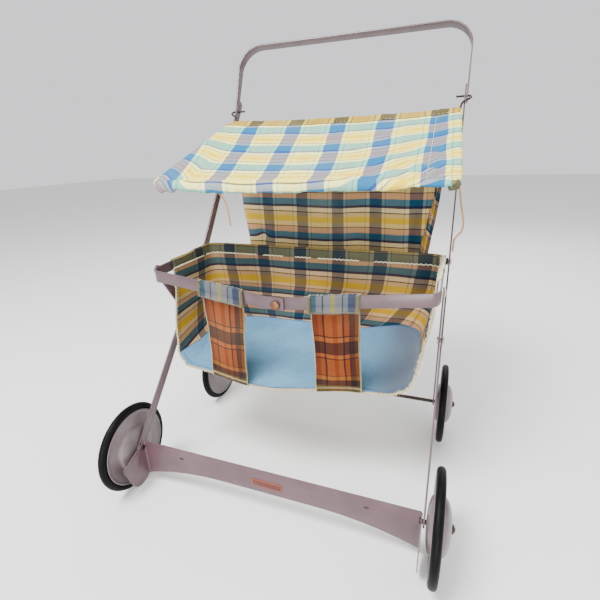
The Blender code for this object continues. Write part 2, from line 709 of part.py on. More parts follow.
# ---------------------------------------------------------------- ties
TIES = {                            # side: height of the loop on the strut, route of the tail
    "left": (0.3480, [(-0.1722, 0.1876, 0.3470), (-0.1690, 0.1880, 0.3420),
                      (-0.1640, 0.1880, 0.3345), (-0.1620, 0.1885, 0.3240),
                      (-0.1610, 0.1895, 0.3100), (-0.1606, 0.1905, 0.2975)]),
    "right": (0.3620, [(0.1792, 0.1970, 0.3605), (0.1808, 0.1950, 0.3530),
                       (0.1830, 0.1890, 0.3400), (0.1862, 0.1800, 0.3270),
                       (0.1885, 0.1740, 0.3150), (0.1872, 0.1690, 0.3060),
                       (0.1830, 0.1640, 0.3010), (0.1794, 0.1570, 0.2970),
                       (0.1788, 0.1490, 0.2910), (0.1787, 0.1440, 0.2850)]),
}


def build_tie(label, side, tape):
    """Tape looped round the strut, with its free end."""
    height, route = TIES[label]
    share = (height - KINK[1]) / (PIVOT[1] - KINK[1])
    y, z = along(KINK, PIVOT, share)
    lean = Vector((0.0, PIVOT[0] - KINK[0], PIVOT[1] - KINK[1])).normalized()
    across = Vector((0.0, lean.z, -lean.y))
    loops = []
    for half_x, half_y in ((0.0023, 0.0073), (0.0013, 0.0063)):
        loop = []
        for cx, cy, start in ((1, 1, 0), (-1, 1, 90), (-1, -1, 180), (1, -1, 270)):
            radius = 0.0008
            centre = (cx * (half_x - radius), cy * (half_y - radius))
            loop += arc(centre, radius, start, start + 90, 3)
        loops.append(loop)

    def place(u, v, w):
        return Vector((side * STRUT_X + u, y, z)) + across * v + lean * w
    prism(f"{label}_tie_loop", loops, place, -0.0016, 0.0016, tape)
    tube(f"{label}_tie_tail", smooth_route(route, 0.0028), TIE_R, tape)


# ---------------------------------------------------------------- assembly
def main():
    for old in list(bpy.data.objects):
        bpy.data.objects.remove(old, do_unlink=True)

    enamel = paint("grey_enamel", (0.47, 0.45, 0.48), 0.38, 0.1)
    disc_enamel = paint("disc_enamel", (0.52, 0.51, 0.53), 0.40, 0.1)
    steel = paint("bright_steel", (0.55, 0.54, 0.53), 0.35, 1.0)
    dark_steel = paint("dark_steel", (0.12, 0.11, 0.11), 0.5, 0.8)
    rubber = paint("black_rubber", (0.012, 0.012, 0.013), 0.6)
    canopy_cloth = paint("faded_plaid", (0.62, 0.62, 0.48), 0.9)
    basket_cloth = paint("plaid", (0.25, 0.28, 0.22), 0.9)
    strap_cloth = paint("strap_plaid", (0.55, 0.22, 0.12), 0.9)
    pad_cloth = paint("blue_pad", (0.27, 0.42, 0.58), 0.95)
    tape = paint("cotton_tape", (0.62, 0.48, 0.33), 0.9)
    plate = paint("blank_plate", (0.55, 0.42, 0.22), 0.5)

    rails = []
    for label, side in SIDES:
        build_strut(label, side, enamel)
        build_rear_leg(label, side, enamel)
        build_side_rivets(label, side, steel)
        build_front_axle(label, side, steel)
        rails.append(build_rim_rail(label, side, enamel))
        build_leg_strap(label, side, strap_cloth)
        build_tie(label, side, tape)
        wheel_set = (disc_enamel, rubber, dark_steel)
        build_wheel(f"{label}_front", FRONT_WHEEL_X, FRONT_AXLE, side, wheel_set)
        build_wheel(f"{label}_rear", REAR_WHEEL_X, REAR_AXLE, side, wheel_set)
    build_rear_axle(steel)
    build_crossbar(enamel, plate)
    build_middle_rivet(rails, steel)
    build_rear_rim_bar(enamel)
    build_handle(enamel)
    build_canopy_wire(enamel)
    build_canopy_cloth(canopy_cloth)
    build_basket(basket_cloth)
    build_pad(pad_cloth)

    for obj in bpy.data.objects:
        obj.location.y -= MIDDLE_Y


main()
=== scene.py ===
"""Looks of a folding pushchair for two dolls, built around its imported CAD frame.

Everything is in metres in the frame's own coordinates: +X is to the right of someone facing
the front, the front faces -Y, and the floor is z = 0. The chair's side profile was
drawn with its y = 0 just behind the front axle, so at() takes profile coordinates.
"""
import json
import math
import random

import bmesh
import bpy
import numpy as np
from mathutils import Matrix, Vector, noise
from mathutils.bvhtree import BVHTree

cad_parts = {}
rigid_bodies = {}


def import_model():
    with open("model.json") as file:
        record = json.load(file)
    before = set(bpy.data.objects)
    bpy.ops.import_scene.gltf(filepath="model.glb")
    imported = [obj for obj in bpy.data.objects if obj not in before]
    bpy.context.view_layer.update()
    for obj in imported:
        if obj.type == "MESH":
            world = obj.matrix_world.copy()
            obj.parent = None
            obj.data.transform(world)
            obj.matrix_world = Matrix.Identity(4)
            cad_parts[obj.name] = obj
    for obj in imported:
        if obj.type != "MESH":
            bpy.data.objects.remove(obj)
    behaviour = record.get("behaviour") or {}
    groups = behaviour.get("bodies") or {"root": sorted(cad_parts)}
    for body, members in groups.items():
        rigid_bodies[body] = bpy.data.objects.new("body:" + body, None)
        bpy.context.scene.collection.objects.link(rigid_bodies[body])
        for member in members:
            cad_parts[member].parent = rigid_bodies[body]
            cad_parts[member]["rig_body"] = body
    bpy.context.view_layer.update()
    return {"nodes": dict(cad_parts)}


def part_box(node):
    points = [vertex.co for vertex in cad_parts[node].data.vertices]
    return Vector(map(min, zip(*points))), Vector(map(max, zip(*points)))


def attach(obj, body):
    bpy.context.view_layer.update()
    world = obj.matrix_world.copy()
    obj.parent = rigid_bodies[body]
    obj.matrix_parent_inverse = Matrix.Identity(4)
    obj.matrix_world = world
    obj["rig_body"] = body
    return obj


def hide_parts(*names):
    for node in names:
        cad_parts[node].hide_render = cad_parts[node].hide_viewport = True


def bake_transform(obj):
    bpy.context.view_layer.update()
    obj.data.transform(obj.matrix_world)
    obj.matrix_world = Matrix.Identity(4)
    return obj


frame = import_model()
MM = 0.001
MIDDLE_Y = 0.1017                   # profile y of the middle of the chair's length
SIDES = (("left", -1.0), ("right", 1.0))


def at(x, y, z):
    """Point in the frame from profile coordinates."""
    return Vector((x, y - MIDDLE_Y, z))


def srgb(red, green, blue, alpha=1.0):
    """Linear colour of an 8-bit screen colour; alpha is kept as it is."""
    return tuple(((c / 255 + 0.055) / 1.055) ** 2.4 if c > 10 else c / 255 / 12.92
                 for c in (red, green, blue)) + (alpha,)


def link(name, data):
    """Object in the scene for a mesh, a curve, a light or a camera."""
    obj = bpy.data.objects.new(name, data)
    bpy.context.scene.collection.objects.link(obj)
    return obj


# ---- camera, light and floor
def set_camera():
    """The photograph's viewpoint: above the front right corner, wide lens, tilted down."""
    yaw, pitch, roll = (math.radians(a) for a in (-20.82, 20.29, -1.91))
    ahead = Vector((math.sin(yaw) * math.cos(pitch), math.cos(yaw) * math.cos(pitch),
                    -math.sin(pitch)))
    level = Vector((math.cos(yaw), -math.sin(yaw), 0.0))
    above = level.cross(ahead)
    right = level * math.cos(roll) + above * math.sin(roll)
    up = above * math.cos(roll) - level * math.sin(roll)
    data = bpy.data.cameras.new("camera")
    data.sensor_width = 36.0
    data.lens = 24.31
    data.clip_start = 0.01
    camera = link("camera", data)
    camera.matrix_world = Matrix.Translation((0.1741, -0.4871, 0.4092)) @ Matrix(
        (right, up, -ahead)).transposed().to_4x4()
    bpy.context.scene.camera = camera


def add_light(name, energy, size, place, target):
    data = bpy.data.lights.new(name, "AREA")
    data.energy = energy
    data.size = size
    light = link(name, data)
    light.location = place
    light.rotation_euler = (Vector(target) - Vector(place)).to_track_quat("-Z", "Y").to_euler()


def set_stage():
    """Plain pale floor under soft studio light from above, the front, the right and the back."""
    world = bpy.data.worlds.new("studio")
    bpy.context.scene.world = world
    world.use_nodes = True
    background = world.node_tree.nodes["Background"]
    background.inputs["Color"].default_value = (0.95, 0.96, 1.0, 1.0)
    background.inputs["Strength"].default_value = 1.15
    middle = (0.0, 0.0, 0.25)
    add_light("key", 72.0, 0.7, (-0.45, -0.8, 1.75), middle)
    add_light("front", 32.0, 0.8, (0.25, -1.75, 0.42), middle)
    add_light("fill", 8.0, 1.2, (1.5, -0.5, 0.8), middle)
    add_light("back", 18.0, 0.9, (0.2, 1.3, 1.3), middle)
    mesh = bpy.data.meshes.new("floor")
    mesh.from_pydata([(-6, -6, 0), (6, -6, 0), (6, 6, 0), (-6, 6, 0)], [], [(0, 1, 2, 3)])
    floor = link("floor", mesh)
    shader = Shader("floor_paper")
    tone = shader.noise(shader.position(), 3.0, 2.0)
    shader.set("Base Color", shader.mix(tone, srgb(222, 221, 218), srgb(228, 227, 225)))
    shader.set("Roughness", 0.7)
    mesh.materials.append(shader.material)


# ---- shader building blocks
class Shader:
    """A Principled material and short names for the nodes that feed it."""

    def __init__(self, name):
        self.material = bpy.data.materials.new(name)
        self.material.use_nodes = True
        self.tree = self.material.node_tree
        self.bsdf = self.tree.nodes["Principled BSDF"]

    def put(self, socket, value):
        """Links a node's output to a socket, or sets the socket's own value."""
        if isinstance(value, bpy.types.NodeSocket):
            self.tree.links.new(value, socket)
        elif isinstance(value, (int, float)) and hasattr(socket.default_value, "__len__"):
            socket.default_value = [value] * len(socket.default_value)
        else:
            socket.default_value = value

    def set(self, name, value):
        self.put(self.bsdf.inputs[name], value)

    def add(self, kind, inputs=(), output=0, **options):
        node = self.tree.nodes.new("ShaderNode" + kind)
        for name, value in options.items():
            setattr(node, name, value)
        for key, value in dict(inputs).items():
            self.put(node.inputs[key], value)
        return node.outputs[output]

    def math(self, operation, a, b=0.0, clamp=False):
        return self.add("Math", {0: a, 1: b}, operation=operation, use_clamp=clamp)

    def plus(self, a, b):
        return self.math("ADD", a, b)

    def minus(self, a, b):
        return self.math("SUBTRACT", a, b)

    def times(self, a, b):
        return self.math("MULTIPLY", a, b)

    def mix(self, factor, a, b, blend="MIX"):
        return self.add("Mix", {0: factor, 6: a, 7: b}, output=2, data_type="RGBA",
                        blend_type=blend)

    def position(self):
        return self.add("TexCoord", output="Object")

    def uv(self):
        """The piece's own map, in metres across and along the cloth."""
        return self.split(self.add("TexCoord", output="UV"))[:2]

    def split(self, vector):
        """The x, y and z of a vector."""
        node = self.add("SeparateXYZ", {0: vector}).node
        return [node.outputs[axis] for axis in "XYZ"]

    def stretched(self, vector, scale):
        return self.add("VectorMath", {0: vector, 1: scale}, operation="MULTIPLY")

    def noise(self, vector, scale, detail=3.0, roughness=0.5):
        return self.add("TexNoise", {"Vector": vector, "Scale": scale, "Detail": detail,
                                     "Roughness": roughness})

    def step(self, value, low, high):
        """0 below low, 1 above high, smooth between."""
        return self.add("MapRange", {0: value, 1: low, 2: high, 3: 0.0, 4: 1.0},
                        interpolation_type="SMOOTHSTEP")

    def ramp(self, factor, stops):
        """Plain steps of colour. stops: (where each one starts, colour)."""
        node = self.tree.nodes.new("ShaderNodeValToRGB")
        ramp = node.color_ramp
        ramp.interpolation = "CONSTANT"
        while len(ramp.elements) < len(stops):
            ramp.elements.new(1.0)
        for element, (place, colour) in zip(ramp.elements, stops):
            element.position = place
            element.color = colour
        self.put(node.inputs[0], factor)
        return node.outputs[0]

    def bump(self, height, distance, strength, under=None):
        inputs = {"Height": height, "Distance": distance, "Strength": strength}
        if under:
            inputs["Normal"] = under
        return self.add("Bump", inputs)

    def knots(self, u, v, rate):
        """Relief of a plain weave; rate is in radians per metre."""
        return self.times(self.math("SINE", self.times(u, rate)),
                          self.math("SINE", self.times(v, rate)))

    def finished(self, colour, roughness, normal):
        """The material, with its last three inputs."""
        self.set("Base Color", colour)
        self.set("Roughness", roughness)
        self.set("Normal", normal)
        return self.material


def stripes(shader, place, check, start):
    """Colours of a check's bands, repeated along place (metres) from start (mm), and their
    weight: how strongly the threads show where they cross others."""
    period = sum(width for width, _ in check) * MM
    ahead = 1000.0 - start * MM / period       # whole turns keep the sum above zero
    turn = shader.math("FRACT", shader.plus(shader.math("DIVIDE", place, period), ahead))
    stops, done = [], 0.0
    for width, colour in check:
        stops.append((done * MM / period, colour))
        done += width
    colour = shader.ramp(turn, stops)
    return colour, colour.node.outputs["Alpha"]


def plaid(name, warp, weft, warp_start, weft_start, fade, soil, twill=0.1):
    """Woven check: warp colours run along v and weft colours across it, thread over thread."""
    shader = Shader(name)
    u, v = shader.uv()
    spot = shader.position()
    sway = shader.minus(shader.noise(spot, 22.0, 2.0), 0.5)
    u = shader.plus(u, shader.times(sway, 2.2 * MM))
    v = shader.plus(v, shader.times(sway, -2.4 * MM))
    across, across_weight = stripes(shader, u, warp, warp_start)
    along, along_weight = stripes(shader, v, weft, weft_start)
    # twill ribs decide which thread is on top
    rib = shader.math("FRACT", shader.math("DIVIDE", shader.plus(u, v), 1.3 * MM))
    rib = shader.times(shader.minus(shader.math("PINGPONG", rib, 0.5), 0.25), 4.0 * twill)
    along_weight = shader.math("POWER", along_weight, 4.0)
    across_weight = shader.math("POWER", across_weight, 4.0)
    share = shader.math("DIVIDE", along_weight, shader.plus(across_weight, along_weight))
    top = shader.math("ADD", share, rib, clamp=True)
    cloth = shader.mix(top, across, along)
    # slubs: single threads that are a little paler or darker
    both = shader.add("CombineXYZ", {0: u, 1: v, 2: 0.0})
    slub_u = shader.noise(shader.stretched(both, (1800.0, 40.0, 1.0)), 1.0, 1.0)
    slub_v = shader.noise(shader.stretched(both, (40.0, 1800.0, 1.0)), 1.0, 1.0)
    slub = shader.plus(shader.times(slub_u, 0.34), shader.plus(shader.times(slub_v, 0.34), 0.66))
    cloth = shader.mix(1.0, cloth, shader.add("CombineColor", {0: slub, 1: slub, 2: slub}),
                       "MULTIPLY")
    # sun fading in broad patches, then old stains
    patch = shader.step(shader.noise(spot, 9.0, 3.0), 0.35, 0.75)
    cloth = shader.mix(shader.times(patch, fade), cloth, srgb(226, 216, 176))
    stain = shader.step(shader.noise(shader.stretched(spot, (1.0, 1.0, 1.6)), 17.0, 5.0, 0.6),
                        0.55, 0.8)
    cloth = shader.mix(shader.times(stain, soil), cloth, srgb(150, 120, 80), "MULTIPLY")
    shader.set("Specular IOR Level", 0.12)
    shader.set("Sheen Weight", 0.03)
    shader.set("Sheen Roughness", 0.5)
    weave = shader.bump(shader.knots(u, v, 5200.0), 0.12 * MM, 0.6)
    weave = shader.bump(shader.plus(slub_u, slub_v), 0.25 * MM, 0.6, weave)
    crumple = shader.noise(spot, 160.0, 3.0, 0.6)
    return shader.finished(cloth, 0.92, shader.bump(crumple, 0.5 * MM, 0.8, weave))


# ---- materials
def enamel(name, base, darker, wear=0.6, rust=0.5):
    """Old semi-gloss enamel on steel: chipped along its edges, scratched and spotted with rust."""
    shader = Shader(name)
    spot = shader.position()
    tone = shader.noise(spot, 28.0, 4.0, 0.6)
    colour = shader.mix(shader.step(tone, 0.3, 0.7), base, darker)
    speck = shader.step(shader.noise(spot, 900.0, 2.0), 0.62, 0.75)
    colour = shader.mix(shader.times(speck, 0.25), colour, srgb(96, 88, 88))
    # edges: where the rounded normal leaves the face's own normal
    soft = shader.add("Bevel", {"Radius": 0.9 * MM}, samples=4)
    own = shader.add("NewGeometry", output="Normal")
    bend = shader.add("VectorMath", {0: soft, 1: own}, output="Value", operation="DOT_PRODUCT")
    edge = shader.step(shader.minus(1.0, bend), 0.015, 0.16)
    chips = shader.step(shader.noise(spot, 330.0, 4.0, 0.65), 0.47, 0.6)
    worn = shader.times(shader.times(edge, chips), wear)
    lines = shader.noise(shader.stretched(spot, (240.0, 35.0, 240.0)), 1.0, 2.0)
    scratch = shader.step(lines, 0.7, 0.76)
    worn = shader.math("MAXIMUM", worn, shader.times(scratch, 0.35))
    colour = shader.mix(worn, colour, srgb(98, 88, 84))
    rot = shader.step(shader.noise(spot, 95.0, 6.0, 0.7), 0.66, 0.74)
    rot = shader.times(rot, rust)
    colour = shader.mix(rot, colour, srgb(92, 50, 28))
    rough = shader.plus(0.3, shader.times(tone, 0.16))
    rough = shader.plus(rough, shader.times(rot, 0.35))
    shader.set("Metallic", shader.times(worn, 0.7))
    shader.set("Coat Weight", 0.12)
    shader.set("Coat Roughness", 0.18)
    peel = shader.bump(shader.noise(spot, 420.0, 2.0), 0.06 * MM, 0.5)
    chipped = shader.bump(shader.minus(1.0, worn), 0.08 * MM, 0.6, peel)
    return shader.finished(colour, rough, chipped)


def steel(name, base, roughness, rust):
    """Bare or zinc-plated steel with turned grain and brown spots."""
    shader = Shader(name)
    spot = shader.position()
    cloud = shader.noise(spot, 120.0, 4.0, 0.6)
    colour = shader.mix(cloud, base, tuple(c * 0.6 for c in base[:3]) + (1.0,))
    rot = shader.times(shader.step(shader.noise(spot, 260.0, 5.0, 0.7), 0.5, 0.66), rust)
    shader.set("Metallic", shader.minus(1.0, rot))
    grain = shader.noise(shader.stretched(spot, (900.0, 200.0, 200.0)), 1.0, 2.0)
    return shader.finished(shader.mix(rot, colour, srgb(98, 60, 38)),
                           shader.plus(roughness, shader.times(cloud, 0.2)),
                           shader.bump(grain, 0.05 * MM, 0.4))


def rubber():
    """Matt black rubber, dusty, with fine moulding lines round the tread."""
    shader = Shader("tyre_rubber_worn")
    spot = shader.position()
    dust = shader.step(shader.noise(spot, 45.0, 5.0, 0.65), 0.45, 0.8)
    scuff = shader.step(shader.noise(spot, 420.0, 3.0), 0.58, 0.72)
    dust = shader.plus(shader.times(dust, 0.06), shader.times(scuff, 0.03))
    shader.set("Specular IOR Level", 0.08)
    lines = shader.math("SINE", shader.times(shader.split(spot)[0], 7000.0))
    fine = shader.bump(lines, 0.05 * MM, 0.25)
    return shader.finished(shader.mix(dust, srgb(5, 5, 7), srgb(84, 78, 74)),
                           shader.plus(0.48, dust),
                           shader.bump(shader.noise(spot, 600.0, 3.0), 0.12 * MM, 0.5, fine))


def plain_cloth(name, base, paler, thread=0.55, uses_map=True, worn=0.0):
    """Plain weave in one colour, mottled and fuzzy; worn sets a painted shade that darkens it
    towards its right end.
    """
    shader = Shader(name)
    spot = shader.position()
    if uses_map:
        u, v = shader.uv()
    else:
        u, y, z = shader.split(spot)
        v = shader.plus(y, z)
    both = shader.add("CombineXYZ", {0: u, 1: v, 2: 0.0})
    rows = shader.noise(shader.stretched(both, (60.0, 1500.0, 1.0)), 1.0, 2.0)
    columns = shader.noise(shader.stretched(both, (1500.0, 60.0, 1.0)), 1.0, 2.0)
    mottle = shader.noise(spot, 30.0, 4.0, 0.6)
    tone = shader.plus(shader.times(shader.plus(rows, columns), 0.35), shader.times(mottle, 0.35))
    colour = shader.mix(shader.step(tone, 0.25, 0.8), base, paler)
    lint = shader.step(shader.noise(spot, 700.0, 2.0), 0.66, 0.72)
    colour = shader.mix(shader.times(lint, 0.3), colour, srgb(212, 218, 220))
    if worn:
        # painted shade: the cloth darkens towards its right end
        x = shader.plus(shader.split(spot)[0], shader.times(mottle, 0.03))
        painted_shade = shader.times(shader.step(x, 0.088, 0.15), worn)
        colour = shader.mix(painted_shade, colour, srgb(66, 72, 86))
    shader.set("Specular IOR Level", 0.2)
    shader.set("Sheen Weight", 0.2)
    weave = shader.bump(shader.knots(u, v, 2 * math.pi / (thread * MM)), 0.1 * MM, 0.6)
    fuzz = shader.bump(shader.noise(spot, 300.0, 4.0, 0.7), 0.5 * MM, 0.5, weave)
    return shader.finished(colour, 0.95, fuzz)


def lacquer(middle, size):
    """Blank dark red plate with a worn orange border; middle and size are the plate's own."""
    shader = Shader("plate_lacquer_worn")
    spot = shader.position()
    apart = shader.add("VectorMath", {0: spot, 1: tuple(middle)}, operation="SUBTRACT")
    apart = shader.add("VectorMath", {0: apart}, operation="ABSOLUTE")
    x, _, z = shader.split(apart)
    inside = shader.math("MINIMUM", shader.minus(size.x / 2, x), shader.minus(size.z / 2, z))
    tone = shader.noise(shader.stretched(spot, (1.0, 1.0, 3.0)), 260.0, 4.0, 0.6)
    ragged = shader.plus(inside, shader.times(shader.minus(tone, 0.5), 0.9 * MM))
    border = shader.minus(1.0, shader.step(ragged, 0.6 * MM, 1.1 * MM))
    field = shader.mix(shader.step(tone, 0.35, 0.65), srgb(70, 27, 25), srgb(88, 40, 32))
    shader.set("Metallic", 0.25)
    return shader.finished(shader.mix(border, field, srgb(142, 72, 26)),
                           shader.plus(0.3, shader.times(tone, 0.3)),
                           shader.bump(tone, 0.05 * MM, 0.5))


# ---- mesh building blocks
def add_piece(name, verts, faces, material, uvs=None, smooth=True):
    """Mesh object at the origin; uvs gives one (u, v) for each vertex, in metres."""
    mesh = bpy.data.meshes.new(name)
    mesh.from_pydata([tuple(v) for v in verts], [], faces)
    if uvs is not None:
        layer = mesh.uv_layers.new(name="cloth")
        index = np.zeros(len(mesh.loops), np.int32)
        mesh.loops.foreach_get("vertex_index", index)
        layer.data.foreach_set("uv", np.array(uvs, np.float32)[index].ravel())
    mesh.materials.append(material)
    if smooth:
        mesh.shade_smooth()
    mesh.validate()
    return link(name, mesh)


def grid_faces(rows, columns, first=0):
    """Quads of a grid of points given row by row."""
    return [(first + i * columns + j, first + i * columns + j + 1,
             first + (i + 1) * columns + j + 1, first + (i + 1) * columns + j)
            for i in range(rows - 1) for j in range(columns - 1)]


def add_cloth(name, grid, uvs, material, thickness):
    """Sheet from a grid of points that lie in its middle, with a real thickness in mm."""
    rows, columns = len(grid), len(grid[0])
    verts = [point for row in grid for point in row]
    flat = [uv for row in uvs for uv in row]
    obj = add_piece(name, verts, grid_faces(rows, columns), material, flat)
    thicken = obj.modifiers.new("thickness", "SOLIDIFY")
    thicken.thickness = thickness * MM
    thicken.offset = 0.0
    return obj


def add_threads(name, runs, radius, material, sides=1):
    """Thin round threads in one object: each run is a list of points."""
    curve = bpy.data.curves.new(name, "CURVE")
    curve.dimensions = "3D"
    curve.bevel_depth = radius * MM
    curve.bevel_resolution = sides
    curve.use_fill_caps = True
    for run in runs:
        spline = curve.splines.new("POLY")
        spline.points.add(len(run) - 1)
        for spot, point in zip(spline.points, run):
            spot.co = (*point, 1.0)
    curve.materials.append(material)
    return link(name, curve)


def wander(point, scale, seed=0.0):
    """Smooth noise from -1 to 1 at a point; scale is the size of its waves in metres."""
    return noise.noise(Vector(point) / scale + Vector((seed, 1.7 * seed, -seed)))


def ripple(place, scale, seed=0.0):
    """The same noise along a line."""
    return wander((place, 0, 0), scale, seed)


def bell(value, middle, width):
    """Bell curve that is 1 at its middle."""
    return math.exp(-((value - middle) / width) ** 2)


def arch(value, half):
    """Parabola that is 1 at zero and falls to 0 at half either way."""
    return max(0.0, 1 - (value / half) ** 2)


def smoothstep(low, high, value):
    t = min(1.0, max(0.0, (value - low) / (high - low)))
    return t * t * (3 - 2 * t)


def evenly(steps):
    """Even positions from -1 to 1."""
    return [-1 + 2 * i / steps for i in range(steps + 1)]


def raised(height):
    return Vector((0.0, 0.0, height))


def random_vector(*ranges):
    """A random number from each (low, high) range in turn."""
    return Vector([random.uniform(low, high) for low, high in ranges])


def belongs(pieces, body):
    """Makes pieces move with the body."""
    for piece in pieces:
        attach(piece, body)


def smooth_route(route, spacing):
    """Points at a near-even spacing on a Catmull-Rom curve through the route."""
    route = [Vector(p) for p in route]
    ends = [2 * route[0] - route[1], *route, 2 * route[-1] - route[-2]]
    points = [route[0]]
    for p0, p1, p2, p3 in zip(ends, ends[1:], ends[2:], ends[3:]):
        count = max(1, round((p2 - p1).length / spacing))
        for i in range(1, count + 1):
            t = i / count
            points.append(0.5 * (2 * p1 + (p2 - p0) * t + (2 * p0 - 5 * p1 + 4 * p2 - p3) * t**2
                                 + (3 * p1 - p0 - 3 * p2 + p3) * t**3))
    return points


def lengths_along(points):
    """Distance from the first point to each point of a polyline."""
    done = [0.0]
    for a, b in zip(points, points[1:]):
        done.append(done[-1] + (b - a).length)
    return done


def softened(node, material, width=0.35):
    """Copy of a CAD strip with its sharp edges rounded over, shown in the node's place."""
    source = frame["nodes"][node]
    bm = bmesh.new()
    bm.from_mesh(source.data)
    bmesh.ops.remove_doubles(bm, verts=bm.verts, dist=0.000002)
    bmesh.ops.dissolve_limit(bm, angle_limit=math.radians(0.4), verts=bm.verts, edges=bm.edges)
    mesh = bpy.data.meshes.new(node + "_soft")
    bm.to_mesh(mesh)
    bm.free()
    mesh.materials.clear()
    mesh.materials.append(material)
    mesh.shade_smooth()
    obj = link(node + "_rolled", mesh)
    bevel = obj.modifiers.new("rolled edges", "BEVEL")
    bevel.width = width * MM
    bevel.segments = 2
    bevel.limit_method = "ANGLE"
    bevel.angle_limit = math.radians(40)
    bevel.harden_normals = True
    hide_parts(node)
    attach(obj, source["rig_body"])
    return obj


def circle(steps):
    """(cosine, sine) of evenly spaced angles."""
    return [(math.cos(a), math.sin(a)) for a in (2 * math.pi * i / steps for i in range(steps))]


def ring_faces(rings, steps, closed):
    """Quads between rings of points; closed joins the last ring to the first."""
    faces = []
    for k in range(rings if closed else rings - 1):
        first, second = k * steps, (k + 1) % rings * steps
        for i in range(steps):
            j = (i + 1) % steps
            faces.append((first + i, first + j, second + j, second + i))
    return faces


def lathe(name, profile, centre, side, material):
    """Ring turned about an axis along X. profile: closed (radius, distance outwards), in mm."""
    steps = 96
    verts = [(centre.x + side * reach * MM, centre.y + radius * MM * cosine,
              centre.z + radius * MM * sine)
             for radius, reach in profile for cosine, sine in circle(steps)]
    faces = ring_faces(len(profile), steps, closed=True)
    if side < 0:
        faces = [face[::-1] for face in faces]
    return add_piece(name, verts, faces, material)


# ---- the woven checks
def bands(*rows):
    """Bands of a check. rows: (width in mm, red, green, blue, weight against crossing threads)."""
    return [(width, srgb(*colour)) for width, *colour in rows]


def mirrored(dark, *half):
    """A dark band, then bands that come again in reverse after the middle one."""
    closing = 5.7                   # mm, the last band's width
    return bands(dark, *half, *reversed(half[1:-1]), (closing, *half[0][1:]))


LINE = 24, 22, 28, 1.0
THIN = 54, 46, 40, 0.74
FAINT = 140, 98, 50, 0.56
NEW_WARP = mirrored((18, 12, 22, 42, 1.0), (4, 157, 134, 99, 0.54), (1.4, *THIN),
                    (5, 157, 122, 66, 0.47), (1, *FAINT), (14, 161, 122, 50, 0.47))
NEW_WEFT = bands((7.0, 145, 108, 78, 0.78), (8.5, 12, 62, 73, 0.88), (3.6, 3, 6, 38, 1.0),
                 (6.0, 172, 144, 106, 0.78), (1.3, *LINE), (5.0, 157, 124, 83, 0.78),
                 (10.0, 163, 126, 9, 0.84), (6.2, 169, 136, 92, 0.78), (1.3, *LINE))
HEM_WEFT = bands((13.0, 52, 66, 56, 0.80), (1.2, *LINE), (5.0, 112, 98, 58, 0.76))
SUN_WARP = mirrored((18, 11, 28, 51, 1.0), (4, 173, 160, 114, 0.54), (1.4, *THIN),
                    (5, 171, 143, 76, 0.47), (1, *FAINT), (14, 171, 141, 59, 0.47))
SUN_WEFT = bands((8.0, 160, 118, 85, 0.80), (8.5, 13, 75, 95, 0.88), (3.6, 6, 9, 47, 1.0),
                 (6.0, 182, 162, 119, 0.80), (1.3, *LINE), (5.5, 167, 139, 89, 0.80),
                 (8.5, 169, 137, 13, 0.86), (6.2, 175, 149, 93, 0.80), (1.3, *LINE))
REAR_HEM_WARP = mirrored((18, 34, 40, 36, 1.0), (4, 182, 168, 88, 0.6), (1.4, 80, 70, 46, 0.9),
                         (5, 166, 136, 44, 0.5), (16, 126, 96, 40, 0.5))
FADED_WARP = mirrored((23, 12, 54, 132, 1.0), (5.5, 232, 230, 156, 0.58),
                      (1.3, 112, 118, 80, 0.72), (6.5, 230, 216, 100, 0.58),
                      (18.5, 226, 196, 44, 0.58))
FADED_WEFT = bands((20, 24, 154, 158, 0.79), (4.5, 18, 88, 138, 0.82), (6, 232, 230, 154, 0.77),
                   (1.3, 60, 72, 76, 0.86), (7, 230, 218, 102, 0.77), (10, 224, 184, 34, 0.77),
                   (6, 230, 218, 102, 0.77), (1.3, 60, 72, 76, 0.86), (6, 222, 226, 156, 0.77))
STRAP_LINE = 20, 8, 14, 1.0
STRAP_WARP = bands((7.5, 62, 25, 14, 0.75), (5.5, 101, 46, 15, 0.7), (2.0, *STRAP_LINE),
                   (9.5, 117, 60, 20, 0.7), (5, 94, 34, 1, 0.78), (6, 117, 61, 24, 0.7),
                   (2.0, *STRAP_LINE), (5.5, 101, 43, 12, 0.7), (2.0, *STRAP_LINE),
                   (4.5, 25, 13, 15, 0.95), (7.6, 62, 42, 18, 0.8))
# the weft's first band, dark red, is painted shadow just under the loop over the rail
STRAP_WEFT = bands((5.5, 89, 18, 8, 0.8), (1, *STRAP_LINE), (24, 101, 42, 15, 0.7),
                   (1.3, *STRAP_LINE), (5, 121, 65, 26, 0.72), (14, 30, 13, 15, 0.98),
                   (4.5, 121, 65, 26, 0.72), (1.3, *STRAP_LINE), (19.5, 103, 46, 12, 0.7),
                   (1.3, *STRAP_LINE), (4.5, 122, 74, 26, 0.72), (7, 26, 14, 16, 0.98),
                   (25, 62, 56, 26, 0.95))
LOOP_WARP = bands((3, 89, 80, 56, 0.8), (6, 14, 47, 58, 0.9), (6.5, 77, 78, 91, 0.8),
                  (1.4, 14, 12, 22, 1.0), (8, 83, 82, 90, 0.8), (4.5, 103, 98, 37, 0.8),
                  (7, 81, 78, 87, 0.8), (1.4, 14, 12, 22, 1.0), (5, 64, 73, 89, 0.8),
                  (7.5, 5, 20, 56, 0.95), (4.7, 69, 62, 48, 0.8))
LOOP_WEFT = bands((9, 71, 82, 77, 0.6), (4, 39, 52, 67, 0.62), (5, 92, 89, 69, 0.6),
                  (2, 36, 38, 50, 0.66))


def scaled(check, share):
    return [(width * share, colour) for width, colour in check]


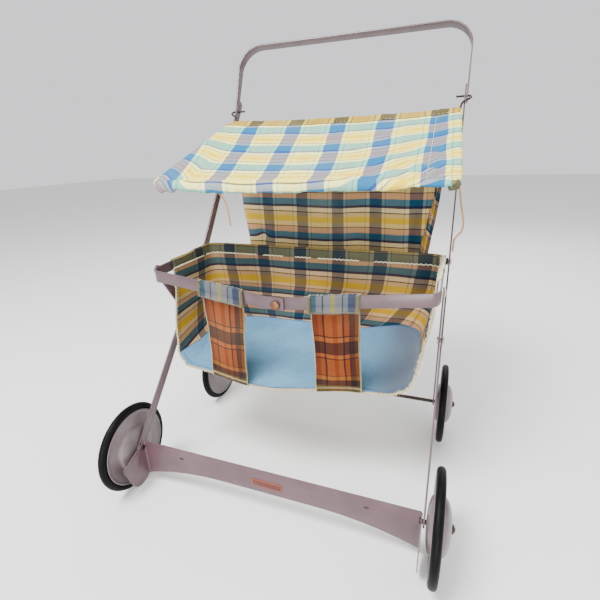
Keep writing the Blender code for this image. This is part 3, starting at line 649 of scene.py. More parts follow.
def make_materials():
    """Every finish, by a short name."""
    plate_low, plate_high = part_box("crossbar_plate")
    return {
        "canopy": plaid("canopy_check", FADED_WARP, scaled(FADED_WEFT, 1.03), -2.0, 27.0,
                        0.04, 0.08, 0.06),
        "canopy_hem": plaid("canopy_hem_check", scaled(REAR_HEM_WARP, 1.21),
                            bands((18.0, 166, 136, 36, 0.66)), -2.0, 0.0, 0.05, 0.3, 0.3),
        "curtain": plaid("curtain_check", scaled(SUN_WARP, 1.11), scaled(SUN_WEFT, 1.1),
                         -14.0, 3.3, 0.05, 0.25),
        "basket": plaid("basket_check", NEW_WARP, NEW_WEFT, 25.2, 13.0, 0.03, 0.3),
        "basket_hem": plaid("basket_hem_check", NEW_WARP, HEM_WEFT, 25.2, 0.0, 0.03, 0.3, 0.15),
        "strap": plaid("strap_check", STRAP_WARP, STRAP_WEFT, 0.0, 0.0, 0.03, 0.2),
        "loop": plaid("strap_loop_check", LOOP_WARP, LOOP_WEFT, 0.0, 0.0, 0.04, 0.2),
        # worn paints shade over the pad's right end
        "pad": plain_cloth("pad_denim", srgb(62, 106, 136), srgb(96, 142, 170), worn=0.9),
        "pad_edge": plain_cloth("pad_edge", srgb(30, 60, 96), srgb(44, 84, 126)),
        "tape": plain_cloth("cotton_tape_old", srgb(170, 112, 62), srgb(214, 172, 116),
                            uses_map=False),
        "cream": plain_cloth("cream_thread", srgb(190, 168, 116), srgb(222, 206, 160), 0.3,
                             uses_map=False),
        "edge_tape": plain_cloth("edge_tape", srgb(126, 116, 92), srgb(172, 162, 132), 0.5,
                                 uses_map=False),
        "white_fray": plain_cloth("white_fray", srgb(222, 206, 160), srgb(240, 236, 216), 0.5,
                                  uses_map=False),
        "dark_thread": plain_cloth("dark_thread", srgb(36, 34, 38), srgb(70, 66, 66), 0.3,
                                   uses_map=False),
        "frame": enamel("frame_enamel_worn", srgb(84, 64, 69), srgb(71, 53, 58)),
        "bar": enamel("crossbar_enamel_worn", srgb(84, 60, 65), srgb(72, 50, 56), rust=0.35),
        "disc": enamel("disc_enamel_worn", srgb(112, 99, 102), srgb(88, 76, 79), 0.5, 0.25),
        "bright": steel("bright_steel_dull", srgb(176, 160, 150), 0.34, 0.55),
        "rivet": steel("rivet_brass_brown", srgb(128, 92, 70), 0.42, 0.3),
        "dark": steel("dark_steel_oily", srgb(62, 56, 54), 0.38, 0.6),
        "rubber": rubber(),
        "plate": lacquer((plate_low + plate_high) / 2, plate_high - plate_low),
    }


# ---- frame
def dress_frame(finish):
    """Rolled edges on every strip, and finishes on the small steel pieces."""
    strips = ["handle_bow", "rear_rim_bar"]
    for side, _ in SIDES:
        strips += [f"{side}_strut", f"{side}_rear_leg", f"{side}_rim_rail"]
    for node in strips:
        softened(node, finish["frame"])
    softened("front_crossbar", finish["bar"], 0.25)
    softened("crossbar_plate", finish["plate"], 0.12)
    bar = frame["nodes"]["front_crossbar"]
    surface = BVHTree.FromPolygons([v.co for v in bar.data.vertices],
                                   [p.vertices for p in bar.data.polygons])
    # painted shade: a flat dark ellipse on the crossbar's face at each side stands for the shaded
    # inside of a slot
    for side, sign in SIDES:
        spot, normal, _, _ = surface.ray_cast(Vector((0.117 * sign, -1, 0.05)), Vector((0, 1, 0)))
        outline = [spot + normal * 0.00012 + Vector((0.0032 * cosine, 0, 0.0014 * sine))
                   for cosine, sine in circle(24)]
        slot = add_piece(f"crossbar_{side}_slot", outline, [tuple(range(len(outline)))],
                         finish["dark"], smooth=False)
        belongs([slot], bar["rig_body"])
    for name, node in frame["nodes"].items():
        look = None
        if name.endswith(("axle", "nut", "spacer", "hub_bush")) or name == "canopy_wire":
            look = "dark"
        elif name.endswith("rivet"):
            look = "rivet" if node["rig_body"] == "seat" else "bright"
        elif name.endswith("pin"):
            look = "bright"
        elif name.endswith("tie_loop"):
            look = "tape"
        if look:
            node.data.materials.clear()
            node.data.materials.append(finish[look])


def build_rail_rivet(finish):
    """Broad domed head where the two halves of the front rail overlap."""
    low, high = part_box("front_rail_rivet")
    centre, radius, height, steps = (low + high) / 2, 0.0054, 0.003, 40
    base = low.y + 0.0018
    rings = [(1.0, 0.0)] + [(math.cos(a), 0.25 + 0.75 * math.sin(a))
                            for a in (math.pi / 2 * i / 9 for i in range(9))]
    verts = [(centre.x + radius * share * cosine, base - height * rise,
              centre.z + radius * share * sine)
             for share, rise in rings for cosine, sine in circle(steps)]
    faces = ring_faces(len(rings), steps, closed=False)
    faces += [tuple(range((len(rings) - 1) * steps, len(rings) * steps)),
              tuple(reversed(range(steps)))]
    dome = add_piece("front_rail_rivet_dome", verts, faces, finish["rivet"])
    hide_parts("front_rail_rivet")
    belongs([dome], "seat")


# ---- wheels
TYRE_R = 55.8                       # mm, like the other sizes of a wheel
SECTION_R = 4.6
TREAD_R = 4.2                       # the section is flattened beyond this


def tyre_profile():
    """Round section, a little flattened on the tread, with a moulding line down the middle."""
    profile = []
    for i, (cosine, sine) in enumerate(circle(28)):
        height = SECTION_R * cosine
        if height > TREAD_R:
            height = TREAD_R + (height - TREAD_R) * 0.6
        if i == 0:
            height += 0.15
        profile.append((TYRE_R - SECTION_R + height, SECTION_R * sine))
    return profile


def disc_profile(crown):
    """Pressed half: rolled lip on the tyre, step, flat ring with a bead, dome, and hole."""
    hole, sheet = 3.1, 0.7
    outer = [(47.9, 4.5), (47.7, 5.0), (47.0, 5.1), (46.2, 4.8), (45.2, 4.0), (44.4, 3.7),
             (42.0, 3.6), (36.0, 3.6), (31.2, 3.7), (29.6, 4.0), (28.4, 4.5)]
    for i in range(15):
        a = math.radians(8 + 74 * i / 14)
        outer.append((27.4 * math.cos(a) ** 0.9, 5.2 + (crown - 5.2) * math.sin(a)))
    outer += [(hole + 0.9, crown - 0.02), (hole, crown - 0.25)]
    inner = [(radius, reach - sheet) for radius, reach in reversed(outer)]
    return outer + inner


def build_wheels(finish):
    """Rounder tyres and pressed discs in place of the plain ones."""
    for side, sign in SIDES:
        for end in ("front", "rear"):
            name = f"{side}_{end}"
            low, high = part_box(name + "_tyre")
            centre = (low + high) / 2
            pieces = (("tyre", tyre_profile(), sign, "rubber", "tyre_rubber"),
                      ("outer_disc", disc_profile(14.0), sign, "disc", "disc_enamel"),
                      ("inner_disc", disc_profile(10.4), -sign, "disc", "disc_enamel"))
            for part, profile, way, look, slot in pieces:
                piece = lathe(f"{name}_{part}_fine", profile, centre, way, finish[look])
                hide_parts(f"{name}_{part}")
                belongs([piece], f"{name}_wheel")


# ---- canopy
CANOPY_REAR = (0.2565, 0.4545)      # profile point where the wire's arms bend forward
CANOPY_FRONT = (0.0460, 0.3750)     # profile point of the wire's front bar
CANOPY_DEPTH = math.dist(CANOPY_REAR, CANOPY_FRONT)
HALF_REAR, HALF_FRONT = 0.1712, 0.1780
WIRE_CORNER = 0.011
RISE = 2.1                          # mm from the wire's middle to the cloth lying on it
REAR_EDGE = 0.0035                  # how far the cover starts in front of that bend
FRONT_ROLL = 0.010                  # rows of cloth are 1 mm apart from here round the front bar
REAR_DIP = 0.0030                   # the rear edge hangs forward this far in the middle
HEM_SEAM = 0.0188                   # how far the rear hem's stitching is from the rear edge
SIDE_HEM = [(0, RISE), (1.5, 1.5), (2.1, 0), (1.5, -1.5), (0, -2.1), (-3, -1.8), (-7, -1.0)]
FRONT_HEM = [(0, RISE), (2.3, 1.2), (3.4, -1.4), (3.3, -4.6), (1.9, -7.2), (-0.6, -7.8),
             (-2.8, -6.2), (-5.0, -3.4), (-8.5, -1.2), (-13, 0.4)]


def profile_point(profile, distance):
    """Point that lies a distance (mm) along a smooth profile of (outwards, up) points."""
    points = smooth_route([(a, b, 0.0) for a, b in profile], 0.5)
    done = lengths_along(points)
    k = max(i for i in range(len(points) - 1) if done[i] <= distance or i == 0)
    t = min(1.0, (distance - done[k]) / (done[k + 1] - done[k]))
    return points[k].lerp(points[k + 1], t)


def half_width(q):
    return HALF_REAR + (HALF_FRONT - HALF_REAR) * min(1.0, q / CANOPY_DEPTH)


def on_slope(p, q):
    """Point of the wire's plane: p across, q forwards from the rear end of its arms."""
    t = q / CANOPY_DEPTH
    return at(p, CANOPY_REAR[0] + (CANOPY_FRONT[0] - CANOPY_REAR[0]) * t,
              CANOPY_REAR[1] + (CANOPY_FRONT[1] - CANOPY_REAR[1]) * t)


def hem_hang(p):
    """How far the front hem hangs, along the bar: low left of the middle, short at the right."""
    hang = 0.98 + 0.2 * ripple(p, 0.016, 3.0) + 0.14 * ripple(p, 0.005, 8.0)
    hang += 0.36 * smoothstep(-0.16, -0.1, p) * (1 - smoothstep(-0.05, 0.08, p))
    hang -= 0.5 * smoothstep(0.1, 0.145, p)
    torn = 1 - smoothstep(-0.153, -0.149, p)
    hang += 0.42 * torn * (1 + 0.4 * ripple(p, 0.004, 5.0))
    # two short tears near the left end
    for middle, width, bite in ((-0.1615, 0.0022, 0.55), (-0.148, 0.0028, 0.4)):
        hang -= bite * bell(p, middle, width)
    return hang - 0.6 * (1 - smoothstep(-0.181, -0.166, p))


def hem_roll(behind):
    """Height of the padded roll over the front bar and of the stitched groove behind it."""
    return 0.0014 * (bell(behind, 0.0, 0.0045) - bell(behind, 0.0095, 0.0026))


def seam_x(q):
    """How far across the seam is that runs from front to back."""
    return 0.142 + 0.02 * q


def canopy_sag(p, q):
    """Height of the stretched cloth over the wire's plane, away from its edges (metres)."""
    depth = CANOPY_DEPTH
    across = arch(p, half_width(q))
    along = max(0.0, q / depth * (1 - q / depth) * 4)
    sag = -0.0078 * across ** 0.8 * along ** 0.8
    sag -= 0.0016 * across * (1 - q / depth)                   # the rear edge sags freely
    reach = math.hypot(p - half_width(q), (q - depth))
    angle = math.atan2(depth - q + 0.004, half_width(q) - p + 0.004)
    fan = math.sin(angle * 17 + 0.6 + 1.5 * wander((p, q, 0), 0.05, 9.0))
    sag += 0.0026 * math.exp(-reach / 0.085) * fan * min(1, reach / 0.02)
    left = math.hypot(p + half_width(q), (q - depth))
    turn = math.atan2(depth - q + 0.004, half_width(q) + p + 0.004)
    sag += 0.0013 * math.exp(-left / 0.05) * math.sin(turn * 12) * min(1, left / 0.02)
    bow = q + 0.012 * math.cos(p * 9)
    sag += 0.0008 * math.sin(bow * 170 + 1.2 * wander((p, q, 0), 0.06)) * along * across
    sag += 0.0013 * wander((p, q * 1.6, 0.0), 0.036, 2.0) + 0.0005 * wander((p, q, 0), 0.01, 4.0)
    sag -= 0.0008 * bell(p, seam_x(q), 0.0022)
    pucker = math.exp(-(depth - q) / 0.014) * math.sin(p * 480 + 3 * ripple(p, 0.03))
    return sag + 0.0007 * pucker


def rear_dip(p):
    return REAR_DIP * arch(p, 0.17)


def slack(p, q):
    """How far the cover's loose left edge hangs out past the wire."""
    reach = (0.0075 - 0.0025 * q / CANOPY_DEPTH) * smoothstep(0.004, 0.02, q)
    return reach * smoothstep(half_width(q) - 0.03, half_width(q), -p)


def canopy_point(p, q):
    """Point of the cover; p or q past the wire wraps the cloth round it as a hem."""
    depth, half = CANOPY_DEPTH, half_width(q)
    loose = Vector((-slack(p, q), 0.0, 0.0))
    side = 1.0 if p > 0 else -1.0
    over_x, over_q = abs(p) - half, q - depth
    into_x, into_q = over_x + WIRE_CORNER, over_q + WIRE_CORNER
    if into_x > 0 and into_q > 0:
        reach = math.hypot(into_x, into_q)
        past = reach - WIRE_CORNER
        out = (into_x / reach * side, into_q / reach)
        front = into_q / reach
    elif over_x > over_q:
        past, out, front = over_x, (side, 0.0), 0.0
    else:
        past, out, front = over_q, (0.0, 1.0), 1.0
    inside = smoothstep(0.0, 0.012, half - abs(p))
    if past <= 0:
        edge = smoothstep(0.0, 0.022, -past)
        point = on_slope(p, q)
        point.z += RISE * MM + canopy_sag(p, q) * edge + hem_roll(depth - q) * inside
        return point + loose
    foot = on_slope(p - out[0] * past, q - out[1] * past)
    lying, hanging = (profile_point(hem, past / MM) for hem in (SIDE_HEM, FRONT_HEM))
    hang = hem_hang(p)
    drop = hanging.y if hanging.y > 0 else hanging.y * hang
    drop += 1.4 * inside * bell(past, 0.0, 0.003)
    share = smoothstep(0.2, 1.0, front)
    outwards = lying.x + (hanging.x * (0.9 + 0.2 * ripple(p, 0.02, 6.0)) - lying.x) * share
    upwards = lying.y + (drop - lying.y) * share
    hem = Vector((out[0], -out[1], 0.0)) * outwards + raised(upwards)
    return foot + hem * MM + loose


def spaced_edges(half):
    """Even positions in the middle, closer together over the hems at both ends."""
    hem, inner, steps, count = 0.011, 0.01, 18, 84
    edge = [half - inner + (inner + hem) * i / steps for i in range(steps + 1)]
    middle = [(-half + inner) + 2 * (half - inner) * i / count for i in range(1, count)]
    return [-x for x in reversed(edge)] + middle + edge


def build_canopy(finish):
    """Cover over the wire bow with rolled hems, and its folded rear hem."""
    depth = CANOPY_DEPTH
    rows_q = [REAR_EDGE + (depth - REAR_EDGE - FRONT_ROLL) * i / 62 for i in range(63)]
    rows_q += [depth - FRONT_ROLL + MM * i for i in range(1, 37)]
    grid, uvs = [], []
    for q in rows_q:
        flat = min(q, depth)
        row, row_uv = [], []
        for share in spaced_edges(half_width(flat)):
            row.append(canopy_point(share, q + rear_dip(share) * max(0.0, 1 - q / 0.05)))
            lean = 0.024 - 0.019 * smoothstep(-0.06, 0.15, share)
            slide = lean * (flat - 0.04) / 0.134
            skew = 0.36 * smoothstep(0.05, 0.17, share) + 0.25 * smoothstep(0.13, 0.178, -share)
            bow = 0.007 * arch(share + 0.03, 0.15) * flat / depth
            rise = skew * max(0.0, flat - 0.04)
            turned = -0.0096 if q > depth - 0.0085 else 0.0   # the hem's own strip of the check
            row_uv.append((share - slide + 0.003 * wander((share, q, 0), 0.08, 1.0),
                           q + rise - bow + turned + 0.002 * wander((share, q, 0), 0.05, 7.0)))
        grid.append(row)
        uvs.append(row_uv)
    cover = add_cloth("canopy_cloth", grid, uvs, finish["canopy"], 0.6)
    tear_hole(cover)

    # the rear edge is folded up over the top, showing the unfaded side
    grid, uvs = [], []
    fold = [(0.006, -0.9), (0.002, -0.9), (-0.0005, -0.5), (-0.0012, 0.3), (-0.0002, 1.0),
            (0.002, 1.2), (0.006, 1.15), (0.0105, 1.15), (0.015, 1.1), (0.0176, 0.9)]
    for k, (reach, lift) in enumerate(fold):
        row, row_uv = [], []
        for p in (HALF_REAR * s for s in evenly(120)):
            q = REAR_EDGE + rear_dip(p) * (1 - reach / 0.05) + reach
            q += 0.0007 * wander((p, 0, k * 0.002), 0.02)
            top = canopy_point(p, max(q, 0.0))
            slide = on_slope(p, q) - on_slope(p, max(q, 0.0))
            swell = 0.35 * wander((p, k * 0.004, 0), 0.011, 7.0) if lift > 0 else 0.0
            row.append(top + slide + raised((lift + swell) * MM))
            row_uv.append((p, 0.002 * k))
        grid.append(row)
        uvs.append(row_uv)
    hem = add_cloth("canopy_rear_hem", grid, uvs, finish["canopy_hem"], 0.6)
    runs = []
    for p in (0.166 * s for s in evenly(57)):
        start = canopy_point(p, HEM_SEAM + rear_dip(p))
        end = canopy_point(p + 0.0032, HEM_SEAM + rear_dip(p))
        runs.append([start + raised(0.0012), (start + end) / 2 + raised(0.0016),
                     end + raised(0.0012)])
    seam = add_threads("canopy_rear_seam", runs, 0.22, finish["cream"])
    side_seam = []
    for j in range(52):
        q = 0.026 + 0.188 * j / 51
        p = seam_x(q)
        side_seam.append([canopy_point(p, q) + raised(0.0004),
                          canopy_point(p, q + 0.0011) + raised(0.001),
                          canopy_point(p, q + 0.0022) + raised(0.0004)])
    side_seam = add_threads("canopy_side_seam", side_seam, 0.2, finish["white_fray"])
    knot = build_corner_knot(finish)
    belongs([cover, hem, seam, side_seam, knot], "canopy")
    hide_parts("canopy_cover")


def build_corner_knot(finish):
    """Crumpled corner of the front hem, pinched round the wire at the right."""
    bm = bmesh.new()
    bmesh.ops.create_icosphere(bm, subdivisions=4, radius=1.0)
    centre = on_slope(0.1732, CANOPY_DEPTH - 0.002) + raised(-0.0028)
    for vert in bm.verts:
        way = vert.co.copy()
        reach = 1 + 0.42 * wander(way, 0.8, 2.0) + 0.22 * wander(way, 0.34, 6.0)
        vert.co = centre + Vector((way.x * 0.006, way.y * 0.005, way.z * 0.0052)) * reach
    mesh = bpy.data.meshes.new("canopy_corner_knot")
    layer = bm.loops.layers.uv.new("cloth")
    for face in bm.faces:
        for loop in face.loops:
            loop[layer].uv = (0.05 + loop.vert.co.x, 0.3 + loop.vert.co.y - loop.vert.co.z)
    bm.to_mesh(mesh)
    bm.free()
    mesh.materials.append(finish["basket_hem"])
    mesh.shade_smooth()
    return link("canopy_corner_knot", mesh)


def tear_hole(cover):
    """A small ragged hole through the hem at the left front corner."""
    middle = on_slope(-0.1762, CANOPY_DEPTH - 0.002)
    bm = bmesh.new()
    bm.from_mesh(cover.data)
    gone = []
    for face in bm.faces:
        away = face.calc_center_median() - middle
        reach = math.hypot(away.x * 0.7, away.y) + 0.4 * abs(away.z + 0.005)
        if away.y < 0.004 and reach < 0.0026 + 0.0008 * wander(face.calc_center_median(), 0.002):
            gone.append(face)
    bmesh.ops.delete(bm, geom=gone, context="FACES")
    bm.to_mesh(cover.data)
    bm.free()


CURTAIN = ((0.1706, 0.2552, 0.4528), (0.1700, 0.2600, 0.4460), (0.1680, 0.2620, 0.4000),
           (0.1645, 0.2620, 0.3500), (0.1590, 0.2610, 0.3000), (0.1540, 0.2600, 0.2620),
           (0.1510, 0.2590, 0.2280))  # half width, profile y, height


def build_curtain(finish):
    """Cloth that hangs behind the seat from the canopy's rear edge, its right edge folded in."""
    levels = smooth_route(CURTAIN, 0.0034)
    done = lengths_along([Vector((0, p.y, p.z)) for p in levels])
    grid, uvs = [], []
    for level, v in zip(levels, done):
        row, row_uv = [], []
        loose = smoothstep(0.0, 0.05, v)
        for s in evenly(120):
            x = level.x * s - 0.009 * smoothstep(0.0, 0.1, v)
            wave = 0.0026 * wander((x, 0, v * 0.35), 0.05, 1.0) + 0.0014 * wander((x, 0, v), 0.02)
            wave += 0.0018 * math.sin(x * 38 + 1.0) * smoothstep(0.08, 0.2, v)
            wave -= 0.0025 * s * s * s * s
            tuck = bell(x, -0.138, 0.01) * bell(v, 0.182, 0.009)
            wave += 0.005 * tuck
            wave += 0.0042 * bell(s, 0.8, 0.05) * smoothstep(0.09, 0.16, v)
            edge = 0.001 * wander((s, 0, level.z), 0.02, 9.0) * abs(s) ** 6
            row.append(at(x + edge, level.y + wave * loose, level.z))
            sag = 0.0035 * (1 - s * s) * smoothstep(0.05, 0.2, v) - 0.006 * tuck
            row_uv.append((x * 1.02 - 0.004 * v / 0.2,
                           v - sag + 0.003 * wander((x, 0, v), 0.09, 3.0)))
        grid.append(row)
        uvs.append(row_uv)
    curtain = add_cloth("curtain_cloth", grid, uvs, finish["curtain"], 0.6)

    # the right edge is turned in and hangs as a narrow rumpled strip in front of the rest
    strip, strip_uv = [], []
    for row, v in zip(grid, done):
        wide = 3 + 1.6 * smoothstep(0.1, 0.19, v)
        points, places = [], []
        for k in range(7):
            spot = row[120 - round(wide * k / 6)]
            out = math.sin(math.pi * k / 6) * 0.0022 + 0.001
            out += 0.0007 * wander((k * 0.4, 0, spot.z / 0.012), 1.0, 3.0)
            points.append(spot + Vector((0.0004 * (k == 0), -out, 0)))
            places.append((0.093 + 0.0026 * k, v + 0.006 + 0.0004 * k * k))
        strip.append(points)
        strip_uv.append(places)
    hem = add_cloth("curtain_right_fold", strip, strip_uv, finish["basket"], 0.6)
    for piece in (curtain, hem):
        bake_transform(piece)
    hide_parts("canopy_curtain")


# ---- basket
RINGS = (                          # height, half width, rear y, front y, corner radius
    (0.2672, 0.1662, 0.1362, 0.0420, 0.012), (0.2600, 0.1655, 0.1355, 0.0415, 0.012),
    (0.2300, 0.1645, 0.1345, 0.0385, 0.016), (0.1980, 0.1615, 0.1325, 0.0320, 0.022),
    (0.1740, 0.1570, 0.1290, 0.0240, 0.030), (0.1550, 0.1500, 0.1235, 0.0165, 0.036),
    (0.1425, 0.1330, 0.1150, 0.0120, 0.040))
FLOOR_SLOPE = 0.26
SIDE_STEPS, CORNER_STEPS, BACK_STEPS = 22, 10, 60   # points along a side, a corner and the back
FLOOR_SHARES = (0.93, 0.82, 0.70, 0.56, 0.42, 0.28, 0.14, 0.004)   # the lowest ring, shrinking


def floor_lift(y, z):
    share = max(0.0, min(1.0, (0.23 - z) / 0.08))
    return max(0.0, y - 0.02) * FLOOR_SLOPE * share


def ring_levels():
    """Ring sizes at closely spaced levels, as a smooth curve through the given rings."""
    levels, per_span = [], 8
    ends = [RINGS[0], *RINGS, RINGS[-1]]
    for r0, r1, r2, r3 in zip(ends, ends[1:], ends[2:], ends[3:]):
        for i in range(per_span):
            t = i / per_span
            levels.append([0.5 * (2 * b + (c - a) * t + (2 * a - 5 * b + 4 * c - d) * t**2
                                  + (3 * b - a - 3 * c + d) * t**3)
                           for a, b, c, d in zip(r0, r1, r2, r3)])
    return levels + [list(RINGS[-1])]


def ring_plan(half, rear, front, corner):
    """(x, y) points from the left front edge round the back to the right front edge."""
    points = [(-half, front + (rear - corner - front) * i / SIDE_STEPS) for i in range(SIDE_STEPS)]
    for i in range(CORNER_STEPS):
        a = math.pi - math.pi / 2 * i / CORNER_STEPS
        points.append((-half + corner + corner * math.cos(a), rear - corner + corner * math.sin(a)))
    flat = half - corner
    left = list(points)
    points += [(-flat + 2 * flat * i / BACK_STEPS, rear) for i in range(BACK_STEPS)]
    return points + [(flat, rear)] + [(-x, y) for x, y in reversed(left)]


def lean(z):
    """The lower part of the tub hangs a little to the left."""
    return -0.0045 * (1 - smoothstep(0.19, 0.235, z)) - 0.002 * (1 - smoothstep(0.15, 0.17, z))


def front_bow(x, y, z):
    """How the floor's soft front edge bows and sags, most of all left of the middle."""
    near = (1 - smoothstep(0.144, 0.158, z)) * (1 - smoothstep(0.012, 0.07, y))
    belly = bell(x, -0.03, 0.062)
    right = smoothstep(0.03, 0.09, x)
    return Vector((0.0, 0.004 * right - 0.0125 * belly, 0.003 * right - 0.0042 * belly)) * near


def floor_edge(x):
    """(profile y, height) of the floor's front edge."""
    bow = front_bow(x, 0.012, 0.141)
    return 0.012 + bow.y, 0.141 + bow.z


def wall_point(x, y, z, depth):
    """Adds soft unevenness to a point of the wall, more of it lower down."""
    loose = smoothstep(0.0, 0.04, depth)
    out = Vector((x / 0.165, (y - 0.06) / 0.075, 0.0)).normalized()
    wave = 0.0016 * wander((x, y, z * 0.5), 0.045, 2.0) + 0.0006 * wander((x, y, z), 0.016, 5.0)
    return (at(x + lean(z), y, z + floor_lift(y, z)) + out * wave * loose
            + front_bow(x + lean(z), y, z))


def build_basket(finish):
    """Cloth tub with a folded top hem, bound front edges and stitching."""
    levels = ring_levels()
    grid, uvs, depth, start = [], [], 0.0, 0.014
    for k, (z, half, rear, front, corner) in enumerate(levels):
        plan = ring_plan(half, rear, front, corner)
        if k:
            depth += math.hypot(levels[k - 1][0] - z, levels[k - 1][2] - rear)
        row = [wall_point(x, y, z, depth) for x, y in plan]
        if k == 0:
            run = lengths_along(row)
            across = [length - run[-1] / 2 + 0.014 * (1 - smoothstep(0.0, 0.05, length))
                      for length in run]
        grid.append(row)
        uvs.append([(u, start + depth + 0.002 * wander((u, depth, 0), 0.07, 6.0)) for u in across])
    lowest = levels[-1]
    front, height = lowest[3], lowest[0] - 0.0015
    plan = ring_plan(*lowest[1:])
    for share in FLOOR_SHARES:
        row = []
        for x, y in plan:
            x, y = x * share + lean(height), front + (y - front) * share
            row.append(at(x, y, height + floor_lift(y, height)) + front_bow(x, y, height))
        grid.append(row)
        uvs.append([(point.x, 0.2 + point.y) for point in row])
    tub = add_cloth("basket_cloth", grid, uvs, finish["basket"], 0.8)

    # top hem: up inside the rail and the rear bar, over them, and down outside
    hem_grid, hem_uvs = [], []
    path = [(0.2655, 0.0), (0.2672, 0.0005), (0.269, 0.0008), (0.272, 0.0009), (0.276, 0.001),
            (0.2792, 0.0012), (0.2808, 0.002), (0.2815, 0.0034), (0.2812, 0.0048),
            (0.2795, 0.0055), (0.275, 0.0056)]
    _, half, rear, _, radius = RINGS[0]
    rail_top, step = 0.2818, 0.0003   # cloth on the side rail's top, and each row's drop from it
    v = 0.0
    for k, (z, out) in enumerate(path):
        row = []
        for x, y in ring_plan(*RINGS[0][1:]):
            corner = smoothstep(0.155, half, abs(x)) * smoothstep(0.11, 0.126, y)
            side = smoothstep(0.15, half, abs(x)) * (1 - smoothstep(0.118, 0.134, y))
            # the side rail stands lower than the bar across the back
            reach = min(out * (1.0 + 0.06 * side), 0.006 - 0.0003 * side)
            # in front, the leg's pin slides along the rail, so the cloth stays on top of it
            clear = side * (1 - smoothstep(0.076, 0.084, y)) * (k > 7)
            reach += (0.003 + step * (k - 7) - reach) * clear
            low = (0.0026 - 0.002 * smoothstep(0.08, 0.106, y)) * side
            low *= smoothstep(0.268, 0.279, z)
            away = Vector((math.copysign(1.0, x), 0.0, 0.0) if side > 0.5 else (0.0, 1.0, 0.0))
            if corner > 0.05 and abs(x) < 0.166 and y > rear - radius:
                away = Vector((x - math.copysign(half - radius, x), y - rear + radius, 0.0))
                away.normalize()
            point = at(x, y, z - low + (rail_top - step * (k - 7) - z) * clear) + away * reach
            point.z += 0.0005 * wander((x, y, 0), 0.012, 2.0) * smoothstep(0.268, 0.278, z)
            ruck = 0.0003 - 0.0002 * side
            row.append(point + away * ruck * wander((x, y, z), 0.008, 3.0))
        if k:
            v += math.dist(path[k], path[k - 1])
        hem_grid.append(row)
        hem_uvs.append([(u, v) for u in across])
    hem = add_cloth("basket_hem", hem_grid, hem_uvs, finish["basket_hem"], 0.5)

    # wavy cream stitching under the hem, broken here and there
    runs, run = [], []
    dense = smooth_route(grid[0][::2], 0.0016)
    for i, point in enumerate(dense):
        inward = Vector((-point.x, 0.03 - point.y, 0.0)).normalized()
        spot = point + inward * 0.0012
        spot.z += 0.0004 + 0.0012 * math.sin(i * 1.9) * (0.6 + 0.4 * wander(point, 0.01, 4.0))
        if wander(point, 0.018, 11.0) > 0.33:
            if len(run) > 3:
                runs.append(run)
            run = []
        else:
            run.append(spot)
    runs.append(run)
    stitches = add_threads("basket_stitching", runs, 0.65, finish["white_fray"])
    pieces = [hem, stitches, *build_rail_cover(hem_grid, finish)]
    pieces += build_bindings(grid, finish)
    belongs([tub, *pieces], "seat")
    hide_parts("basket")
    return grid, levels


def build_rail_cover(hem_grid, finish):
    """The pale worn-through lining of the hem over the right-hand rail, frayed at its edges."""
    random.seed(3)
    first = SIDE_STEPS + CORNER_STEPS + BACK_STEPS + 7
    rows = hem_grid[4:9]
    grid, uvs, frayed = [], [], []
    for k, row in enumerate(rows):
        points, places = [], []
        for j in range(first, len(row)):
            up = Vector((0.55 * (k - 3), 0, 1.0 if k > 1 else 0.25)).normalized()
            ragged = 0.0005 * wander((j * 0.3, k * 0.6, 0), 1.0, 4.0)
            points.append(row[j] + up * (0.0008 + ragged))
            places.append((0.003 * (j - first), 0.002 * k))
        grid.append(points)
        uvs.append(places)
    cover = add_cloth("basket_rail_cover", grid, uvs, finish["white_fray"], 0.5)
    for line in (grid[1], grid[-2], [row[-1] for row in grid]):
        for point in smooth_route(line, 0.0008):
            way = random_vector((-0.9, -0.2), (-0.8, 0.4), (-0.2, 0.9)).normalized()
            reach = random.uniform(0.0008, 0.003)
            bend = random_vector((-1, 1), (-1, 1)).to_3d() * reach * 0.3
            frayed.append([point, point + way * reach * 0.5 + bend, point + way * reach])
    return [cover, add_threads("basket_rail_fray", frayed, 0.14, finish["white_fray"], 0)]


def build_bindings(grid, finish):
    """Overlocked cream edge up both front edges of the walls and across the floor's front."""
    edge = [row[0] for row in grid] + [row[-1] for row in reversed(grid)]
    line = smooth_route(edge[::3] + [edge[-1]], 0.0011)
    random.seed(7)
    zigzag, frayed, any_way = [], [], [(-1, 1)] * 3
    for i, point in enumerate(line):
        ahead = (line[min(i + 1, len(line) - 1)] - line[max(i - 1, 0)]).normalized()
        right_side = smoothstep(0.12, 0.15, point.x)
        into = Vector((0.0, 1.0, 0.0)) - ahead * ahead.y
        into = into.normalized() if into.length > 0.1 else Vector((0.0, 1.0, 0.0))
        out = ahead.cross(into)
        swing = math.sin(i * math.pi / 2)
        width = 0.0013 + 0.0007 * right_side
        lift = out * (0.0008 * math.cos(i * math.pi / 2))
        jitter = random_vector(*any_way)
        zigzag.append(point + into * width * swing + lift * 1.8 + jitter * 0.00018)
        for _ in range(int(1 + 8 * right_side)):
            if random.random() < 0.3 + 0.55 * right_side:
                way = random_vector((-0.6, 0.6), (-1.0, 0.2), (-0.8, 0.6)).normalized()
                reach = random.uniform(0.0008, 0.0024 + 0.0022 * right_side)
                side = random_vector(*any_way) * reach * 0.3
                start = point + into * random.uniform(-0.0004, 0.0012)
                frayed.append([start, start + way * reach * 0.6 + side, start + way * reach])
    band = add_threads("basket_edge_overlock", [zigzag], 0.42, finish["cream"])
    fray = add_threads("basket_edge_fray", frayed, 0.17, finish["white_fray"], 0)
    tape = add_threads("basket_edge_tape", [line], 1.15, finish["edge_tape"], 2)
    return [band, fray, tape]


# ---- seat pad
# share of the way round the tub, height where the pad ends there
LINING_TOP = ((0.0, 0.157), (0.10, 0.149), (0.22, 0.146), (0.32, 0.1505), (0.68, 0.1505),
              (0.80, 0.168), (1.0, 0.190))


